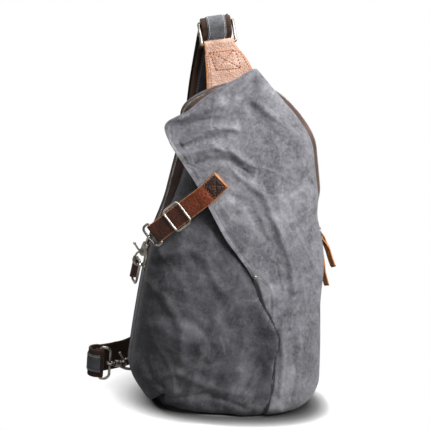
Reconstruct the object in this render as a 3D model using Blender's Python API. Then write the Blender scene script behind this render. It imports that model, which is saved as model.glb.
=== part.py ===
"""Waxed-canvas sling bag with a wrap-over front flap, an arched two-way zip and a clip-on strap.

Frame: metres, +Z up, the bag stands on z = 0 with its front towards -Y, and x = 0 is its middle.
"""

import math

import bmesh
import bpy
from mathutils import Matrix, Vector

# ---- Driving dimensions -------------------------------------------------------------------------

BASE_HALF_WIDTH = 0.1298     # half-width that the side arcs would have at their centre height
SIDE_RADIUS = 2.2            # the sides are long flat arcs
SIDE_CENTRE_Z = -0.095
CROWN_RADIUS = 0.088         # the arched top
CORNER_RADIUS = 0.040        # the rounded lower corners
SEAM_Y = 0.010               # seam between the front shell and the side band
BAND_BACK_Y = 0.042          # back edge of the side band
BACK_THICKNESS = 0.003
BELLY_DEPTH = 0.078          # deepest point of the front shell, ahead of its seam
BELLY_Z = 0.10
TOE_DEPTH = 0.058            # depth of the shell where it meets the bottom panel
TOE_HEIGHT = 0.025
CROWN_DEPTH = 0.020          # depth of the shell just below the crown
SHELL_POWER = 2.6            # squareness of the shell's horizontal section
ARCH_INSET = 0.0070          # the shell's seam lies this far inside the zip along the arch
CLOTH = 0.0016
GAP = 0.0003                 # clearance between pieces that touch
FOLD_SLACK = 0.0004          # clearance between a wire and what is folded round it
SKIN_LOW_Z = 0.0024          # the front shell and the flap end this high, above the bottom panel

ZIP_START_Z = 0.165          # height of the zip's two ends
CHAIN_Y = 0.025
CHAIN_WIDTH = 0.006
CHAIN_THICKNESS = 0.0024
TAPE_THICKNESS = 0.0010
SLIDER_UPPER_Z = 0.2275
SLIDER_LOWER_Z = 0.2055

WEBBING_WIDTH = 0.038
WEBBING_THICKNESS = 0.0024
FACING_WIDTH = 0.024         # canvas strip sewn along the webbing's outer face
FACING_THICKNESS = 0.0008

LEATHER = 0.0022
PULL_WIDTH = 0.0068
PULL_TWIST = math.radians(60)    # the zip pulls' leather turns this far below its fold
SIDE_STRAP_WIDTH = 0.025
TOP_LEAN = math.radians(11.5)
RING_BACK_LEAN = math.radians(25)
HOOK_SCALE = 1.12

# ---- Small helpers ------------------------------------------------------------------------------

V = Vector
X_AXIS, Y_AXIS, Z_AXIS = V((1, 0, 0)), V((0, 1, 0)), V((0, 0, 1))


def clear_scene():
    for obj in list(bpy.data.objects):
        bpy.data.objects.remove(obj)


def material(name, colour, roughness, metallic=0.0):
    mat = bpy.data.materials.new(name)
    mat.use_nodes = True
    shader = mat.node_tree.nodes["Principled BSDF"]
    shader.inputs["Base Color"].default_value = (*colour, 1)
    shader.inputs["Roughness"].default_value = roughness
    shader.inputs["Metallic"].default_value = metallic
    mat.diffuse_color = (*colour, 1)
    return mat


def add_object(name, verts, faces, mat, parent=None, smooth=None):
    """A mesh object in world coordinates whose origin is its parent's, or the world's."""
    mesh = bpy.data.meshes.new(name)
    mesh.from_pydata([tuple(v) for v in verts], [], faces)
    bm = bmesh.new()
    bm.from_mesh(mesh)
    bmesh.ops.recalc_face_normals(bm, faces=bm.faces)
    bm.to_mesh(mesh)
    bm.free()
    if smooth is not None:
        mesh.shade_smooth()
        mesh.set_sharp_from_angle(angle=math.radians(smooth))
    obj = bpy.data.objects.new(name, mesh)
    bpy.context.scene.collection.objects.link(obj)
    if mat:
        mesh.materials.append(mat)
    if parent:
        mesh.transform(Matrix.Translation(-V(parent["world"])))
        obj.parent = parent
    return obj


def pivot(name, position, parent=None):
    """An empty on a joint's axis; what it carries is parented to it."""
    empty = bpy.data.objects.new(name, None)
    empty.empty_display_size = 0.01
    bpy.context.scene.collection.objects.link(empty)
    empty["world"] = tuple(position)
    empty.parent = parent
    empty.location = V(position) - (V(parent["world"]) if parent else V((0, 0, 0)))
    return empty


def boolean(obj, other, operation):
    other.hide_render = True
    other.display_type = "WIRE"
    cut = obj.modifiers.new(operation.title(), "BOOLEAN")
    cut.operation = operation
    cut.object = other
    cut.solver = "EXACT"


def loft(rings, closed_rings=True, capped=True):
    """Faces between successive rings of equal length; with caps it is a closed solid."""
    n = len(rings[0])
    verts = [p for ring in rings for p in ring]
    faces = []
    for i in range(len(rings) - 1):
        for j in range(n if closed_rings else n - 1):
            k = (j + 1) % n
            faces.append((i * n + j, i * n + k, (i + 1) * n + k, (i + 1) * n + j))
    if capped:
        faces.append(tuple(range(n))[::-1])
        faces.append(tuple(range((len(rings) - 1) * n, len(rings) * n)))
    return verts, faces


def smooth_path(points, per_span):
    """Points along a Catmull-Rom curve through the given ones."""
    pts = [V(p) for p in points]
    pts = [2 * pts[0] - pts[1]] + pts + [2 * pts[-1] - pts[-2]]
    out = []
    for i in range(1, len(pts) - 2):
        p0, p1, p2, p3 = pts[i - 1:i + 3]
        for s in range(per_span):
            t = s / per_span
            out.append(0.5 * (2 * p1 + (p2 - p0) * t + (2 * p0 - 5 * p1 + 4 * p2 - p3) * t * t
                              + (3 * p1 - p0 - 3 * p2 + p3) * t ** 3))
    return out + [pts[-2]]


def tangents(points, closed=False):
    n = len(points)
    if closed:
        return [(points[(i + 1) % n] - points[i - 1]).normalized() for i in range(n)]
    return [(points[min(i + 1, n - 1)] - points[max(i - 1, 0)]).normalized() for i in range(n)]


def ribbon(stations, thickness):
    """A strap: each station is (centre, half-width vector, outward normal)."""
    rings = []
    for centre, half, normal in stations:
        t = normal * (thickness / 2)
        rings.append([centre - half - t, centre + half - t, centre + half + t, centre - half + t])
    return loft(rings)


def strap_stations(points, across, width):
    """Stations along a path; across is one direction or one for each point."""
    hints = across if isinstance(across, list) else [across] * len(points)
    out = []
    for point, tangent, hint in zip(points, tangents(points), hints):
        half = (hint - tangent * hint.dot(tangent)).normalized()
        out.append((point, half * (width / 2), tangent.cross(half).normalized()))
    return out


def offset_stations(stations, distance, width):
    return [(c + n * distance, h.normalized() * (width / 2), n) for c, h, n in stations]


def planar_tube(points, normal, radius, sides=8, closed=True):
    """A round wire along points that lie in the plane with this normal."""
    rings = []
    for point, tangent in zip(points, tangents(points, closed)):
        side = normal.cross(tangent).normalized()
        rings.append([point + (side * math.cos(a) + normal * math.sin(a)) * radius
                      for a in (2 * math.pi * k / sides for k in range(sides))])
    if closed:
        rings.append(rings[0])
        verts, faces = loft(rings[:-1], capped=False)
        n, last = sides, (len(rings) - 2) * sides
        faces += [(last + j, last + (j + 1) % n, (j + 1) % n, j) for j in range(n)]
        return verts, faces
    return loft(rings)


def rounded_loop(centre, along, up, half_along, half_up, corners, per_corner=4):
    """Points round a rectangle in the plane of along and up, with arcs of (far, near) radius.

    The far corners are the ones towards up.
    """
    out = []
    for k, (sx, sy) in enumerate(((1, 1), (-1, 1), (-1, -1), (1, -1))):
        corner = corners[0] if sy > 0 else corners[1]
        for i in range(per_corner + 1):
            a = math.pi / 2 * (k + i / per_corner)
            x = sx * (half_along - corner) + corner * math.cos(a)
            y = sy * (half_up - corner) + corner * math.sin(a)
            out.append(centre + along * x + up * y)
    return out


def lathe(profile, origin, axis, segments=16):
    """Turns (radius, distance along the axis) points; both ends sit on the axis."""
    axis = axis.normalized()
    side = axis.orthogonal().normalized()
    other = axis.cross(side)
    rings = [[origin + axis * h + (side * math.cos(a) + other * math.sin(a)) * r
              for a in (2 * math.pi * k / segments for k in range(segments))] for r, h in profile]
    return loft(rings)


def box(centre, x, y, z, size):
    """A box with its edges along the unit vectors x, y and z."""
    half = [s / 2 for s in size]
    rings = [[centre + x * sx * half[0] + y * sy * half[1] + z * h * half[2]
              for sx, sy in ((-1, -1), (1, -1), (1, 1), (-1, 1))] for h in (-1, 1)]
    return loft(rings)


# ---- The bag's outline --------------------------------------------------------------------------

SIDE_CENTRE_X = BASE_HALF_WIDTH - SIDE_RADIUS
CROWN_CENTRE_Z = SIDE_CENTRE_Z + math.sqrt((SIDE_RADIUS - CROWN_RADIUS) ** 2 - SIDE_CENTRE_X ** 2)
CORNER_CENTRE_X = SIDE_CENTRE_X + math.sqrt(
    (SIDE_RADIUS - CORNER_RADIUS) ** 2 - (CORNER_RADIUS - SIDE_CENTRE_Z) ** 2)
CROWN_Z = CROWN_CENTRE_Z + CROWN_RADIUS
CROWN_ANGLE = math.atan2(CROWN_CENTRE_Z - SIDE_CENTRE_Z, -SIDE_CENTRE_X)
CORNER_ANGLE = math.atan2(CORNER_RADIUS - SIDE_CENTRE_Z, CORNER_CENTRE_X - SIDE_CENTRE_X)


def arc(cx, cz, radius, start, end, steps):
    return [(cx + radius * math.cos(a), cz + radius * math.sin(a))
            for a in (start + (end - start) * i / steps for i in range(steps + 1))]


def half_outline(inset=0.0, fine=1):
    """The right half of the outline, from the bottom corner's foot up to the crown."""
    points = arc(CORNER_CENTRE_X, CORNER_RADIUS, CORNER_RADIUS - inset,
                 -math.pi / 2, CORNER_ANGLE, 5 * fine)
    points += arc(SIDE_CENTRE_X, SIDE_CENTRE_Z, SIDE_RADIUS - inset,
                  CORNER_ANGLE, CROWN_ANGLE, 6 * fine)[1:]
    points += arc(0, CROWN_CENTRE_Z, CROWN_RADIUS - inset, CROWN_ANGLE, math.pi / 2, 9 * fine)[1:]
    return points


def outline(inset=0.0):
    """The whole outline as a ring of (x, z), anticlockwise from the right foot."""
    right = half_outline(inset)
    return right + [(-x, z) for x, z in right[-2::-1]]


def side_x(z, inset=0.0):
    return SIDE_CENTRE_X + math.sqrt((SIDE_RADIUS - inset) ** 2 - (z - SIDE_CENTRE_Z) ** 2)


def half_width(z, inset=0.0):
    """The outline's half-width at height z."""
    corner_top = CORNER_RADIUS * (1 + math.sin(CORNER_ANGLE))
    crown_start = CROWN_CENTRE_Z + CROWN_RADIUS * math.sin(CROWN_ANGLE)
    if z < corner_top:
        drop = min(CORNER_RADIUS - z, CORNER_RADIUS - inset)
        return CORNER_CENTRE_X + math.sqrt((CORNER_RADIUS - inset) ** 2 - drop ** 2)
    if z < crown_start:
        return side_x(z, inset)
    return math.sqrt(max((CROWN_RADIUS - inset) ** 2 - (z - CROWN_CENTRE_Z) ** 2, 0))


def seam_inset(z):
    """How far the shell's seam lies inside the zip band's edge: only over the arch."""
    share = min(max((z - 0.20) / 0.10, 0), 1)
    return ARCH_INSET * share * share * (3 - 2 * share)


def shell_depth(z):
    """How far the front shell stands ahead of its seam at height z."""
    slope = (BELLY_DEPTH - CROWN_DEPTH) / (CROWN_Z - BELLY_Z)
    depth = BELLY_DEPTH - max(z - BELLY_Z, 0) * slope
    if z < TOE_HEIGHT:
        rise = 1 - max(z, 0) / TOE_HEIGHT
        depth = TOE_DEPTH + (depth - TOE_DEPTH) * math.sqrt(1 - rise * rise)
    return depth


def shell_row(z, half, depth, steps):
    """One horizontal row of the shell, left seam to right seam, evenly spread round its curve."""
    row = []
    for i in range(steps + 1):
        a = math.pi * i / steps
        c, s = math.cos(a), math.sin(a)
        x = -half * math.copysign(abs(c) ** (2 / SHELL_POWER), c)
        row.append(V((x, SEAM_Y - depth * s ** (2 / SHELL_POWER), z)))
    return row


def shell_solid(inset, thickness, low_z, steps, levels):
    """The front shell as a cloth of this thickness, open at its seam and its foot."""
    top = CROWN_Z - inset - ARCH_INSET - 0.0005
    heights = [low_z + (CROWN_CENTRE_Z - low_z) * (i / levels) ** 1.15 for i in range(levels)]
    heights += [CROWN_CENTRE_Z + (top - CROWN_CENTRE_Z) * math.sin(math.pi / 2 * i / 6)
                for i in range(7)]
    outer, inner = [], []
    for z in heights:
        above = max(z - CROWN_CENTRE_Z, 0) / CROWN_RADIUS
        fade = math.sqrt(max(1 - above ** 2, 0))
        depth = shell_depth(z) * (0.35 + 0.65 * fade) - inset
        half = max(half_width(z, inset + seam_inset(z)), 0.006)
        outer.append(shell_row(z, half, depth, steps))
        inner.append(shell_row(z - (thickness if z == heights[-1] else 0),
                               half - thickness, depth - thickness, steps))
    rings = [row_out + row_in[::-1] for row_out, row_in in zip(outer, inner)]
    return loft(rings)


def slab(points, y0, y1):
    rings = [[V((x, y, z)) for x, z in points] for y in (y0, y1)]
    return loft(rings)


def band(inset, thickness, y0, y1, start_z, end_right_z, whole, slanted=False):
    """A band across the outline's edge: over the arch from side to side, or one side's foot.

    A slanted band's front edge follows the shell's seam.
    """
    def edge(d):
        points = half_outline(inset + d, fine=2)
        if whole:
            points = [p for p in points if p[1] > start_z + 0.001]
            points = [(side_x(start_z, inset + d), start_z)] + points
            return points + [(-x, z) for x, z in points[-2::-1]]
        points = [p for p in points if p[1] < end_right_z - 0.001]
        return points + [(side_x(end_right_z, inset + d), end_right_z)]
    rings = []
    for (xo, zo), (xi, zi) in zip(edge(0), edge(thickness)):
        inward = V((xi - xo, 0, zi - zo)).normalized() * (seam_inset(zo) if slanted else 0)
        rings.append([V((xo, y0, zo)) + inward, V((xo, y1, zo)), V((xi, y1, zi)),
                      V((xi, y0, zi)) + inward])
    return loft(rings)


# ---- Body ---------------------------------------------------------------------------------------

def build_body(canvas, lining, board, foam):
    back_y = BAND_BACK_Y + GAP
    add_object("back_panel", *slab(outline(), back_y, back_y + BACK_THICKNESS), canvas)
    add_object("back_foam_pad", *slab(outline(0.006), 0.0382, BAND_BACK_Y - GAP), foam)
    add_object("back_lining", *slab(outline(0.006), 0.0372, 0.0379), lining)
    shell = shell_solid(0.0, CLOTH, SKIN_LOW_Z, 22, 11)
    add_object("front_panel", *shell, canvas, smooth=50)
    inner = shell_solid(0.0046, 0.0008, 0.0170, 22, 8)
    add_object("front_lining", *inner, lining, smooth=50)
    for side, sign in (("left", -1), ("right", 1)):
        verts, faces = band(0.0, CLOTH, SEAM_Y + GAP, BAND_BACK_Y, 0, ZIP_START_Z, False)
        verts = [V((sign * v.x, v.y, v.z)) for v in verts]
        add_object(f"side_gusset_{side}", verts, faces, canvas, smooth=50)
    foot = base_shape(0.0)
    verts, faces = loft([[V((x, y, z)) for x, y in foot] for z in (0.0, CLOTH)])
    add_object("bottom_panel", verts, faces, canvas)
    board_shape = base_shape(0.010)
    verts, faces = loft([[V((x, y, z)) for x, y in board_shape] for z in (0.0035, 0.0055)])
    add_object("base_board", verts, faces, board)
    build_inner_pocket(lining)


def base_shape(inset):
    """The flat bottom: straight at the back, the shell's own curve at the front."""
    half = CORNER_CENTRE_X - inset - GAP
    front = shell_row(0, half, TOE_DEPTH - inset, 18)
    back = BAND_BACK_Y - inset
    return [(half, back), (-half, back)] + [(p.x, p.y) for p in front]


def build_inner_pocket(lining):
    """A slip pocket on the back lining: a cloth folded up at its foot, open at the top."""
    width, height, foot_z, front_y = 0.130, 0.110, 0.150, 0.0346
    path = [V((0, front_y, foot_z + height)), V((0, front_y, foot_z + 0.0008)),
            V((0, front_y + 0.0008, foot_z)), V((0, 0.0362, foot_z)),
            V((0, 0.0366, foot_z + 0.001)), V((0, 0.0366, foot_z + 0.014))]
    add_object("inner_pocket", *ribbon(strap_stations(path, X_AXIS, width), 0.0007), lining)


# ---- Flap ---------------------------------------------------------------------------------------

FLAP_TOP_CORNER = (-0.003, 0.4355)     # the point that stands above the arch
FLAP_LEFT_CORNER = (-0.1045, 0.3600)
FLAP_EDGE = ((0.0460, SKIN_LOW_Z), (0.0520, 0.045), (0.0500, 0.080), (0.0535, 0.103), (0.0455, 0.124),
             (0.0275, 0.151), (0.0125, 0.182), (-0.0070, 0.207), (-0.0255, 0.229),
             (-0.0515, 0.271), (-0.0655, 0.293), (-0.0930, 0.3280), (-0.1010, 0.3390),
             FLAP_LEFT_CORNER)
FLAP_FREE_LOW = FLAP_EDGE[6]         # below this point the edge is sewn down
FLAP_STANDOFF = 0.009                # how far the free edge stands off the panel behind it


def flap_left_x(z):
    """The flap's left edge at height z: the diagonal, then the sloping top edge."""
    if z >= FLAP_LEFT_CORNER[1]:
        share = (z - FLAP_LEFT_CORNER[1]) / (FLAP_TOP_CORNER[1] - FLAP_LEFT_CORNER[1])
        return FLAP_LEFT_CORNER[0] + share * (FLAP_TOP_CORNER[0] - FLAP_LEFT_CORNER[0])
    for (x0, z0), (x1, z1) in zip(FLAP_EDGE, FLAP_EDGE[1:]):
        if z <= z1:
            return x0 + (x1 - x0) * max(z - z0, 0) / (z1 - z0)
    return FLAP_LEFT_CORNER[0]


def flap_right_x(z):
    """The right edge: along the seam, then free from the arch up to the top corner."""
    leave_z = 0.384
    if z <= leave_z:
        return half_width(z) - seam_inset(z)
    share = (z - leave_z) / (FLAP_TOP_CORNER[1] - leave_z)
    leave_x = half_width(leave_z) - ARCH_INSET
    return leave_x + share * (FLAP_TOP_CORNER[0] - leave_x)


def flap_gap(x, z):
    """The room under the flap: nothing where it is sewn, and widest along its free edge."""
    free = min(max((z - FLAP_FREE_LOW[1]) / 0.10, 0), 1)
    from_edge = (x - flap_left_x(z)) / 0.13
    return FLAP_STANDOFF * free * free * (3 - 2 * free) * max(1 - from_edge, 0) ** 1.5


def flap_y(x, z, clear):
    """The flap's y at (x, z), clear of the shell by this much more than its gap."""
    if x > 0:
        half = max(flap_right_x(z), 0.02) + clear
    else:
        half = side_x(z) + 0.050
    share = min(abs(x) / half, 1)
    depth = shell_depth(z) + clear + flap_gap(x, z)
    return SEAM_Y - depth * (1 - share ** SHELL_POWER) ** (1 / SHELL_POWER)


def flap_row(z, clear, steps):
    left, right = flap_left_x(z), flap_right_x(z) + clear
    row = []
    start = math.acos(max(min(left / max(right, 0.02), 1), -1)) if z < 0.38 else 0
    for i in range(steps + 1):
        turn = math.cos(start * (1 - i / steps))
        share = (turn - math.cos(start)) / (1 - math.cos(start)) if start > 0.1 else i / steps
        x = left + (right - left) * share
        row.append(V((x, flap_y(x, z, clear), z)))
    return row


def build_flap(canvas, metal):
    clear, thick = 0.0019, 0.0014
    top = FLAP_TOP_CORNER[1] - 0.002
    heights = sorted({SKIN_LOW_Z, 0.010, 0.018, top} | {round(z, 5) for _, z in FLAP_EDGE[1:]}
                     | {0.250, 0.310, 0.360, 0.372, 0.384, 0.400, 0.415})
    rings = []
    for z in heights:
        inner = flap_row(z, clear, 18)
        outer = flap_row(z, clear + thick, 18)
        rings.append(outer + inner[::-1])
    add_object("front_flap", *loft(rings), canvas, smooth=50)
    x, z = FLAP_FREE_LOW
    x += 0.004
    at = V((x, flap_y(x, z, clear + thick) - GAP - 0.0004, z))
    add_object("flap_rivet", *lathe([(0.0022, 0), (0.0020, 0.0007), (0.0010, 0.0012)], at,
                                    V((0, -1, 0)), 12), metal, smooth=40)


# ---- Zip ----------------------------------------------------------------------------------------

def build_zip(tape, metal, leather):
    half = CHAIN_WIDTH / 2
    start = ZIP_START_Z + GAP
    bands = (
        ("zip_tape_front", 0.0006, TAPE_THICKNESS, SEAM_Y + GAP, CHAIN_Y - half - GAP, start, tape),
        ("zip_tape_back", 0.0006, TAPE_THICKNESS, CHAIN_Y + half + GAP, BAND_BACK_Y, start, tape),
        ("zip_chain", 0, CHAIN_THICKNESS, CHAIN_Y - half, CHAIN_Y + half, start + 0.0045, metal))
    for name, inset, thick, y0, y1, low, mat in bands:
        slanted = name == "zip_tape_front"
        add_object(name, *band(inset, thick, y0, y1, low, 0, True, slanted), mat, smooth=50)
    for side, sign in (("left", -1), ("right", 1)):
        at = V((sign * (side_x(start + 0.002) - 0.0009), CHAIN_Y, start + 0.002))
        add_object(f"zip_stop_{side}", *box(at, X_AXIS, Y_AXIS, Z_AXIS, (0.003, 0.0054, 0.0036)),
                   metal)
    build_slider("upper", SLIDER_UPPER_Z, 1, math.radians(27), metal, leather)
    build_slider("lower", SLIDER_LOWER_Z, -1, math.radians(14), metal, leather)


def build_slider(which, z, up_sign, hang_angle, metal, leather):
    """A slider saddled on the chain's right side, its wire ring and its folded leather pull."""
    slope = math.asin((z - SIDE_CENTRE_Z) / SIDE_RADIUS)
    out = V((math.cos(slope), 0, math.sin(slope)))
    up = V((-math.sin(slope), 0, math.cos(slope))) * up_sign
    seat = V((side_x(z), CHAIN_Y, z))
    arc_centre = V((SIDE_CENTRE_X, CHAIN_Y, SIDE_CENTRE_Z))
    body = pivot(f"zip_slider_{which}_pivot", arc_centre)
    plate = seat + out * (GAP + 0.0008)
    slider = add_object(f"zip_slider_{which}",
                        *box(plate, up, Y_AXIS, out, (0.0110, 0.0092, 0.0016)), metal, body)
    for i, side in enumerate((-1, 1)):
        lip = seat + Y_AXIS * side * 0.0040 + out * 0.0005
        boolean(slider, add_object(f"{which}_lip_{i}", *box(
            lip, up, Y_AXIS, out, (0.0100, 0.0012, 0.0015)), metal, body), "UNION")
    arch = [plate + up * (0.0040 * math.cos(a)) + out * (0.0005 + 0.0036 * math.sin(a))
            for a in (math.pi * k / 8 for k in range(9))]
    boolean(slider, add_object(f"{which}_bail", *planar_tube(
        arch, Y_AXIS, 0.0008, 6, closed=False), metal, body), "UNION")

    hinge = plate + out * 0.0026
    hang = V((math.sin(hang_angle), 0, -math.cos(hang_angle)))
    face = V((math.cos(hang_angle), 0, math.sin(hang_angle)))
    swing = pivot(f"zip_pull_{which}_pivot", hinge, body)
    ring_radius, wire = 0.0046, 0.0007
    ring_centre = hinge + hang * ring_radius
    ring = rounded_loop(ring_centre, Y_AXIS, hang, 0.0052, ring_radius, (0.0014, 0.0014), 3)
    add_object(f"pull_ring_{which}", *planar_tube(ring, face, wire, 6), metal, swing, smooth=50)
    fold = ring_centre + hang * ring_radius
    thick, length = 0.0014, 0.046
    bend = wire + GAP + thick / 2

    def layer(drop, sign):
        """The centre and width direction of one layer this far below the fold."""
        turn = PULL_TWIST * min(drop / 0.020, 1)
        normal = face * math.cos(turn) + Y_AXIS * math.sin(turn)
        across = Y_AXIS * math.cos(turn) - face * math.sin(turn)
        return fold + hang * drop + normal * sign * bend * (1 + 16 * drop), across

    runs = [layer(drop, 1) for drop in (length, 0.034, 0.020, 0.014, 0.009, 0.004, 0)]
    runs += [(fold + (face * math.cos(a) - hang * math.sin(a)) * bend, Y_AXIS)
             for a in (math.pi * k / 6 for k in range(1, 6))]
    runs += [layer(drop, -1) for drop in (0, 0.004, 0.009, 0.014, 0.020, 0.034, length - 0.004)]
    stations = strap_stations([point for point, _ in runs], [across for _, across in runs],
                              PULL_WIDTH)
    add_object(f"pull_leather_{which}", *ribbon(stations, thick), leather, swing, smooth=40)


# ---- Top leather, ring and strap ----------------------------------------------------------------

ACROSS = V((math.cos(TOP_LEAN), 0, math.sin(TOP_LEAN)))
TOP_UP = V((-math.sin(TOP_LEAN), 0, math.cos(TOP_LEAN)))
TOP_HINGE = V((-0.0375, 0.0503, 0.457))
RING_UP = TOP_UP * math.cos(RING_BACK_LEAN) + Y_AXIS * math.sin(RING_BACK_LEAN)
RING_WIRE = 0.0020
RING_RISE = 0.029                    # between the centres of the ring's two long wires
RING_HALF = WEBBING_WIDTH / 2 + 0.0008 + RING_WIRE
RING_CORNER = 0.0026                 # bend of a ring's corners beside the strap it carries
TOP_BAR = TOP_HINGE + RING_UP * RING_RISE


def build_top(leather, metal):
    bend = RING_WIRE + GAP + LEATHER / 2
    y_front, y_back = TOP_HINGE.y - bend, TOP_HINGE.y + bend
    # Each entry is (left x, right x, z of the middle) of the front layer, from its sewn foot up.
    foot = [((-0.044, 0.372), (0.014, 0.378)), ((-0.0475, 0.398), (0.011, 0.408)),
            ((-0.050, 0.425), (0.000, 0.4335))]
    stations = []
    for (x0, z0), (x1, z1) in foot:
        left, right = V((x0, y_front, z0)), V((x1, y_front, z1))
        stations.append(((left + right) / 2, (right - left) / 2, -Y_AXIS))
    half = ACROSS * 0.0188
    stations.append((V((TOP_HINGE.x, y_front, TOP_HINGE.z)) - TOP_UP * 0.002, half, -Y_AXIS))
    for k in range(7):
        a = math.pi * k / 6
        normal = -Y_AXIS * math.cos(a) + TOP_UP * math.sin(a)
        stations.append((TOP_HINGE + normal * bend, half, normal))
    for drop in (0.008, 0.024):
        centre = V((TOP_HINGE.x, y_back, TOP_HINGE.z)) - TOP_UP * drop
        stations.append((centre, half, Y_AXIS))
    add_object("top_leather", *ribbon(stations, LEATHER), leather, smooth=40)
    body = pivot("top_ring_pivot", TOP_HINGE)
    loop = rounded_loop(TOP_HINGE + RING_UP * (RING_RISE / 2), ACROSS, RING_UP,
                        RING_HALF, RING_RISE / 2, (RING_CORNER, RING_CORNER))
    add_object("top_ring", *planar_tube(loop, ACROSS.cross(RING_UP), RING_WIRE), metal, body,
               smooth=50)


ROLL_RADIUS = 0.0082                 # of the webbing's middle, round the ring's top bar
ROLL_CENTRE = TOP_BAR - TOP_UP * 0.0035
ADJUSTER_AT = V((-0.049, 0.0840, 0.300))  # the adjuster's centre bar
BAR = 0.0015
END_WIRE = 0.0018
END_RING = V((-0.154, 0.056, 0.0245))
END_RING_REACH = 0.0125              # between the centres of its two upright wires
END_FOLD = END_RING - X_AXIS * (END_RING_REACH / 2)
END_EYE_POINT = END_RING + X_AXIS * (END_RING_REACH / 2)


def roll_point(angle):
    return ROLL_CENTRE + (Y_AXIS * math.cos(angle) + TOP_UP * math.sin(angle)) * ROLL_RADIUS


def strap_route():
    """The webbing from the loop on the adjuster, over the top ring, down and round to the clip."""
    bend = BAR + FOLD_SLACK + WEBBING_THICKNESS / 2
    bar = ADJUSTER_AT
    path = [bar + V((0, bend, 0.016)), bar + V((0, bend, 0.006))]
    path += [bar + V((0, math.cos(a), -math.sin(a))) * bend
             for a in (math.pi * k / 6 for k in range(7))]
    tail = [(-0.049, 0.0800, 0.315), (-0.049, 0.0745, 0.350), (-0.0475, 0.0690, 0.400),
            (-0.0440, 0.0655, 0.436), (-0.0405, 0.0640, 0.458)]
    path += smooth_path([path[-1] + V((0, 0, 0.003))] + [V(p) for p in tail], 2)
    path += [ROLL_CENTRE - TOP_UP * 0.0125 - Y_AXIS * 0.0035]
    path += [roll_point(math.radians(a)) for a in (215, 195, 170, 145, 120, 95, 70, 45, 20, 0)]
    main = [(-0.0445, 0.0730, 0.462), (-0.0465, 0.0775, 0.435), (-0.049, 0.0840, 0.395),
            (-0.050, 0.0895, 0.345), (-0.050, 0.0935, 0.300), (-0.049, 0.0985, 0.240),
            (-0.047, 0.1030, 0.180), (-0.050, 0.1060, 0.122), (-0.064, 0.1070, 0.076),
            (-0.090, 0.1040, 0.044), (-0.120, 0.0970, 0.028), (-0.145, 0.0870, 0.0238)]
    path += smooth_path([V(p) for p in main], 3)
    centre, radius = V((-0.1630, 0.0660, 0.0240)), 0.0120
    path += [centre + V((math.cos(math.radians(a)), math.sin(math.radians(a)), 0)) * radius
             for a in (75, 95, 115, 135, 155, 175, 195, 215, 235, 252)]
    bend = END_WIRE + FOLD_SLACK + WEBBING_THICKNESS / 2
    path += [END_FOLD + V((math.sin(a), -math.cos(a), 0)) * bend
             for a in (math.pi * k / 6 for k in range(7))]
    path += [END_FOLD + V((-0.004, bend, 0)), END_FOLD + V((-0.0068, bend, 0))]
    return path


def strap_across(path):
    """The webbing's width runs level behind the bag and turns upright along the floor."""
    hints = []
    past_roll = False
    for point in path:
        past_roll = past_roll or point.z > ROLL_CENTRE.z
        if not past_roll or point.z > 0.44:
            lean = min(max((point.z - 0.42) / 0.04, 0), 1)
            hints.append(X_AXIS.lerp(ACROSS, lean).normalized())
        else:
            turn = min(max((0.20 - point.z) / 0.155, 0), 1)
            angle = math.pi / 2 * turn * turn * (3 - 2 * turn)
            if point.x < -0.118:
                angle = math.pi / 2
            hints.append(V((math.cos(angle), 0, -math.sin(angle))))
    return hints


def flip_consistent(stations):
    """Keeps the half-width and normal on the same side all the way along."""
    out = [stations[0]]
    for centre, half, normal in stations[1:]:
        if half.dot(out[-1][1]) < 0:
            half, normal = -half, -normal
        out.append((centre, half, normal))
    return out


def build_strap(webbing, canvas, metal):
    path = strap_route()
    stations = flip_consistent(strap_stations(path, strap_across(path), WEBBING_WIDTH))
    add_object("strap_webbing", *ribbon(stations, WEBBING_THICKNESS), webbing, smooth=60)
    lift = WEBBING_THICKNESS / 2 + 0.0008 + FACING_THICKNESS / 2
    outer = roll_outward(stations)
    facing = stations[11:-8]
    add_object("strap_facing",
               *ribbon(offset_stations(facing, lift * outer, FACING_WIDTH), FACING_THICKNESS),
               canvas, smooth=60)
    build_adjuster(metal)


def roll_outward(stations):
    """1 if the normals point out of the roll over the top bar, -1 if into it."""
    top = max(stations, key=lambda s: s[0].z)
    return 1 if (top[0] - ROLL_CENTRE).dot(top[2]) > 0 else -1


def build_adjuster(metal):
    """A bowed three-bar slide: outer bars behind the main run, centre bar in the end's loop."""
    half = WEBBING_WIDTH / 2 + 0.0014 + BAR
    main_y = ADJUSTER_AT.y + BAR + FOLD_SLACK + WEBBING_THICKNESS + GAP + 0.0052
    outer_y = main_y + WEBBING_THICKNESS + FACING_THICKNESS + 2 * GAP + BAR
    reach = 0.013
    frame = rounded_loop(V((ADJUSTER_AT.x, outer_y, ADJUSTER_AT.z)), X_AXIS, Z_AXIS,
                         half, reach, (0.004, 0.004))
    adjuster = add_object("strap_adjuster", *planar_tube(frame, -Y_AXIS, BAR), metal, smooth=50)
    drop = outer_y - ADJUSTER_AT.y
    bow = [V((ADJUSTER_AT.x - half, outer_y, ADJUSTER_AT.z)),
           V((ADJUSTER_AT.x - half, outer_y - drop * 0.93, ADJUSTER_AT.z)),
           V((ADJUSTER_AT.x - half + 0.001, ADJUSTER_AT.y, ADJUSTER_AT.z)),
           V((ADJUSTER_AT.x + half - 0.001, ADJUSTER_AT.y, ADJUSTER_AT.z)),
           V((ADJUSTER_AT.x + half, outer_y - drop * 0.93, ADJUSTER_AT.z)),
           V((ADJUSTER_AT.x + half, outer_y, ADJUSTER_AT.z))]
    boolean(adjuster, add_object("adjuster_centre_bar", *planar_tube(
        bow, Z_AXIS, BAR * 0.98, closed=False), metal), "UNION")


# ---- Side strap ---------------------------------------------------------------------------------

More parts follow.
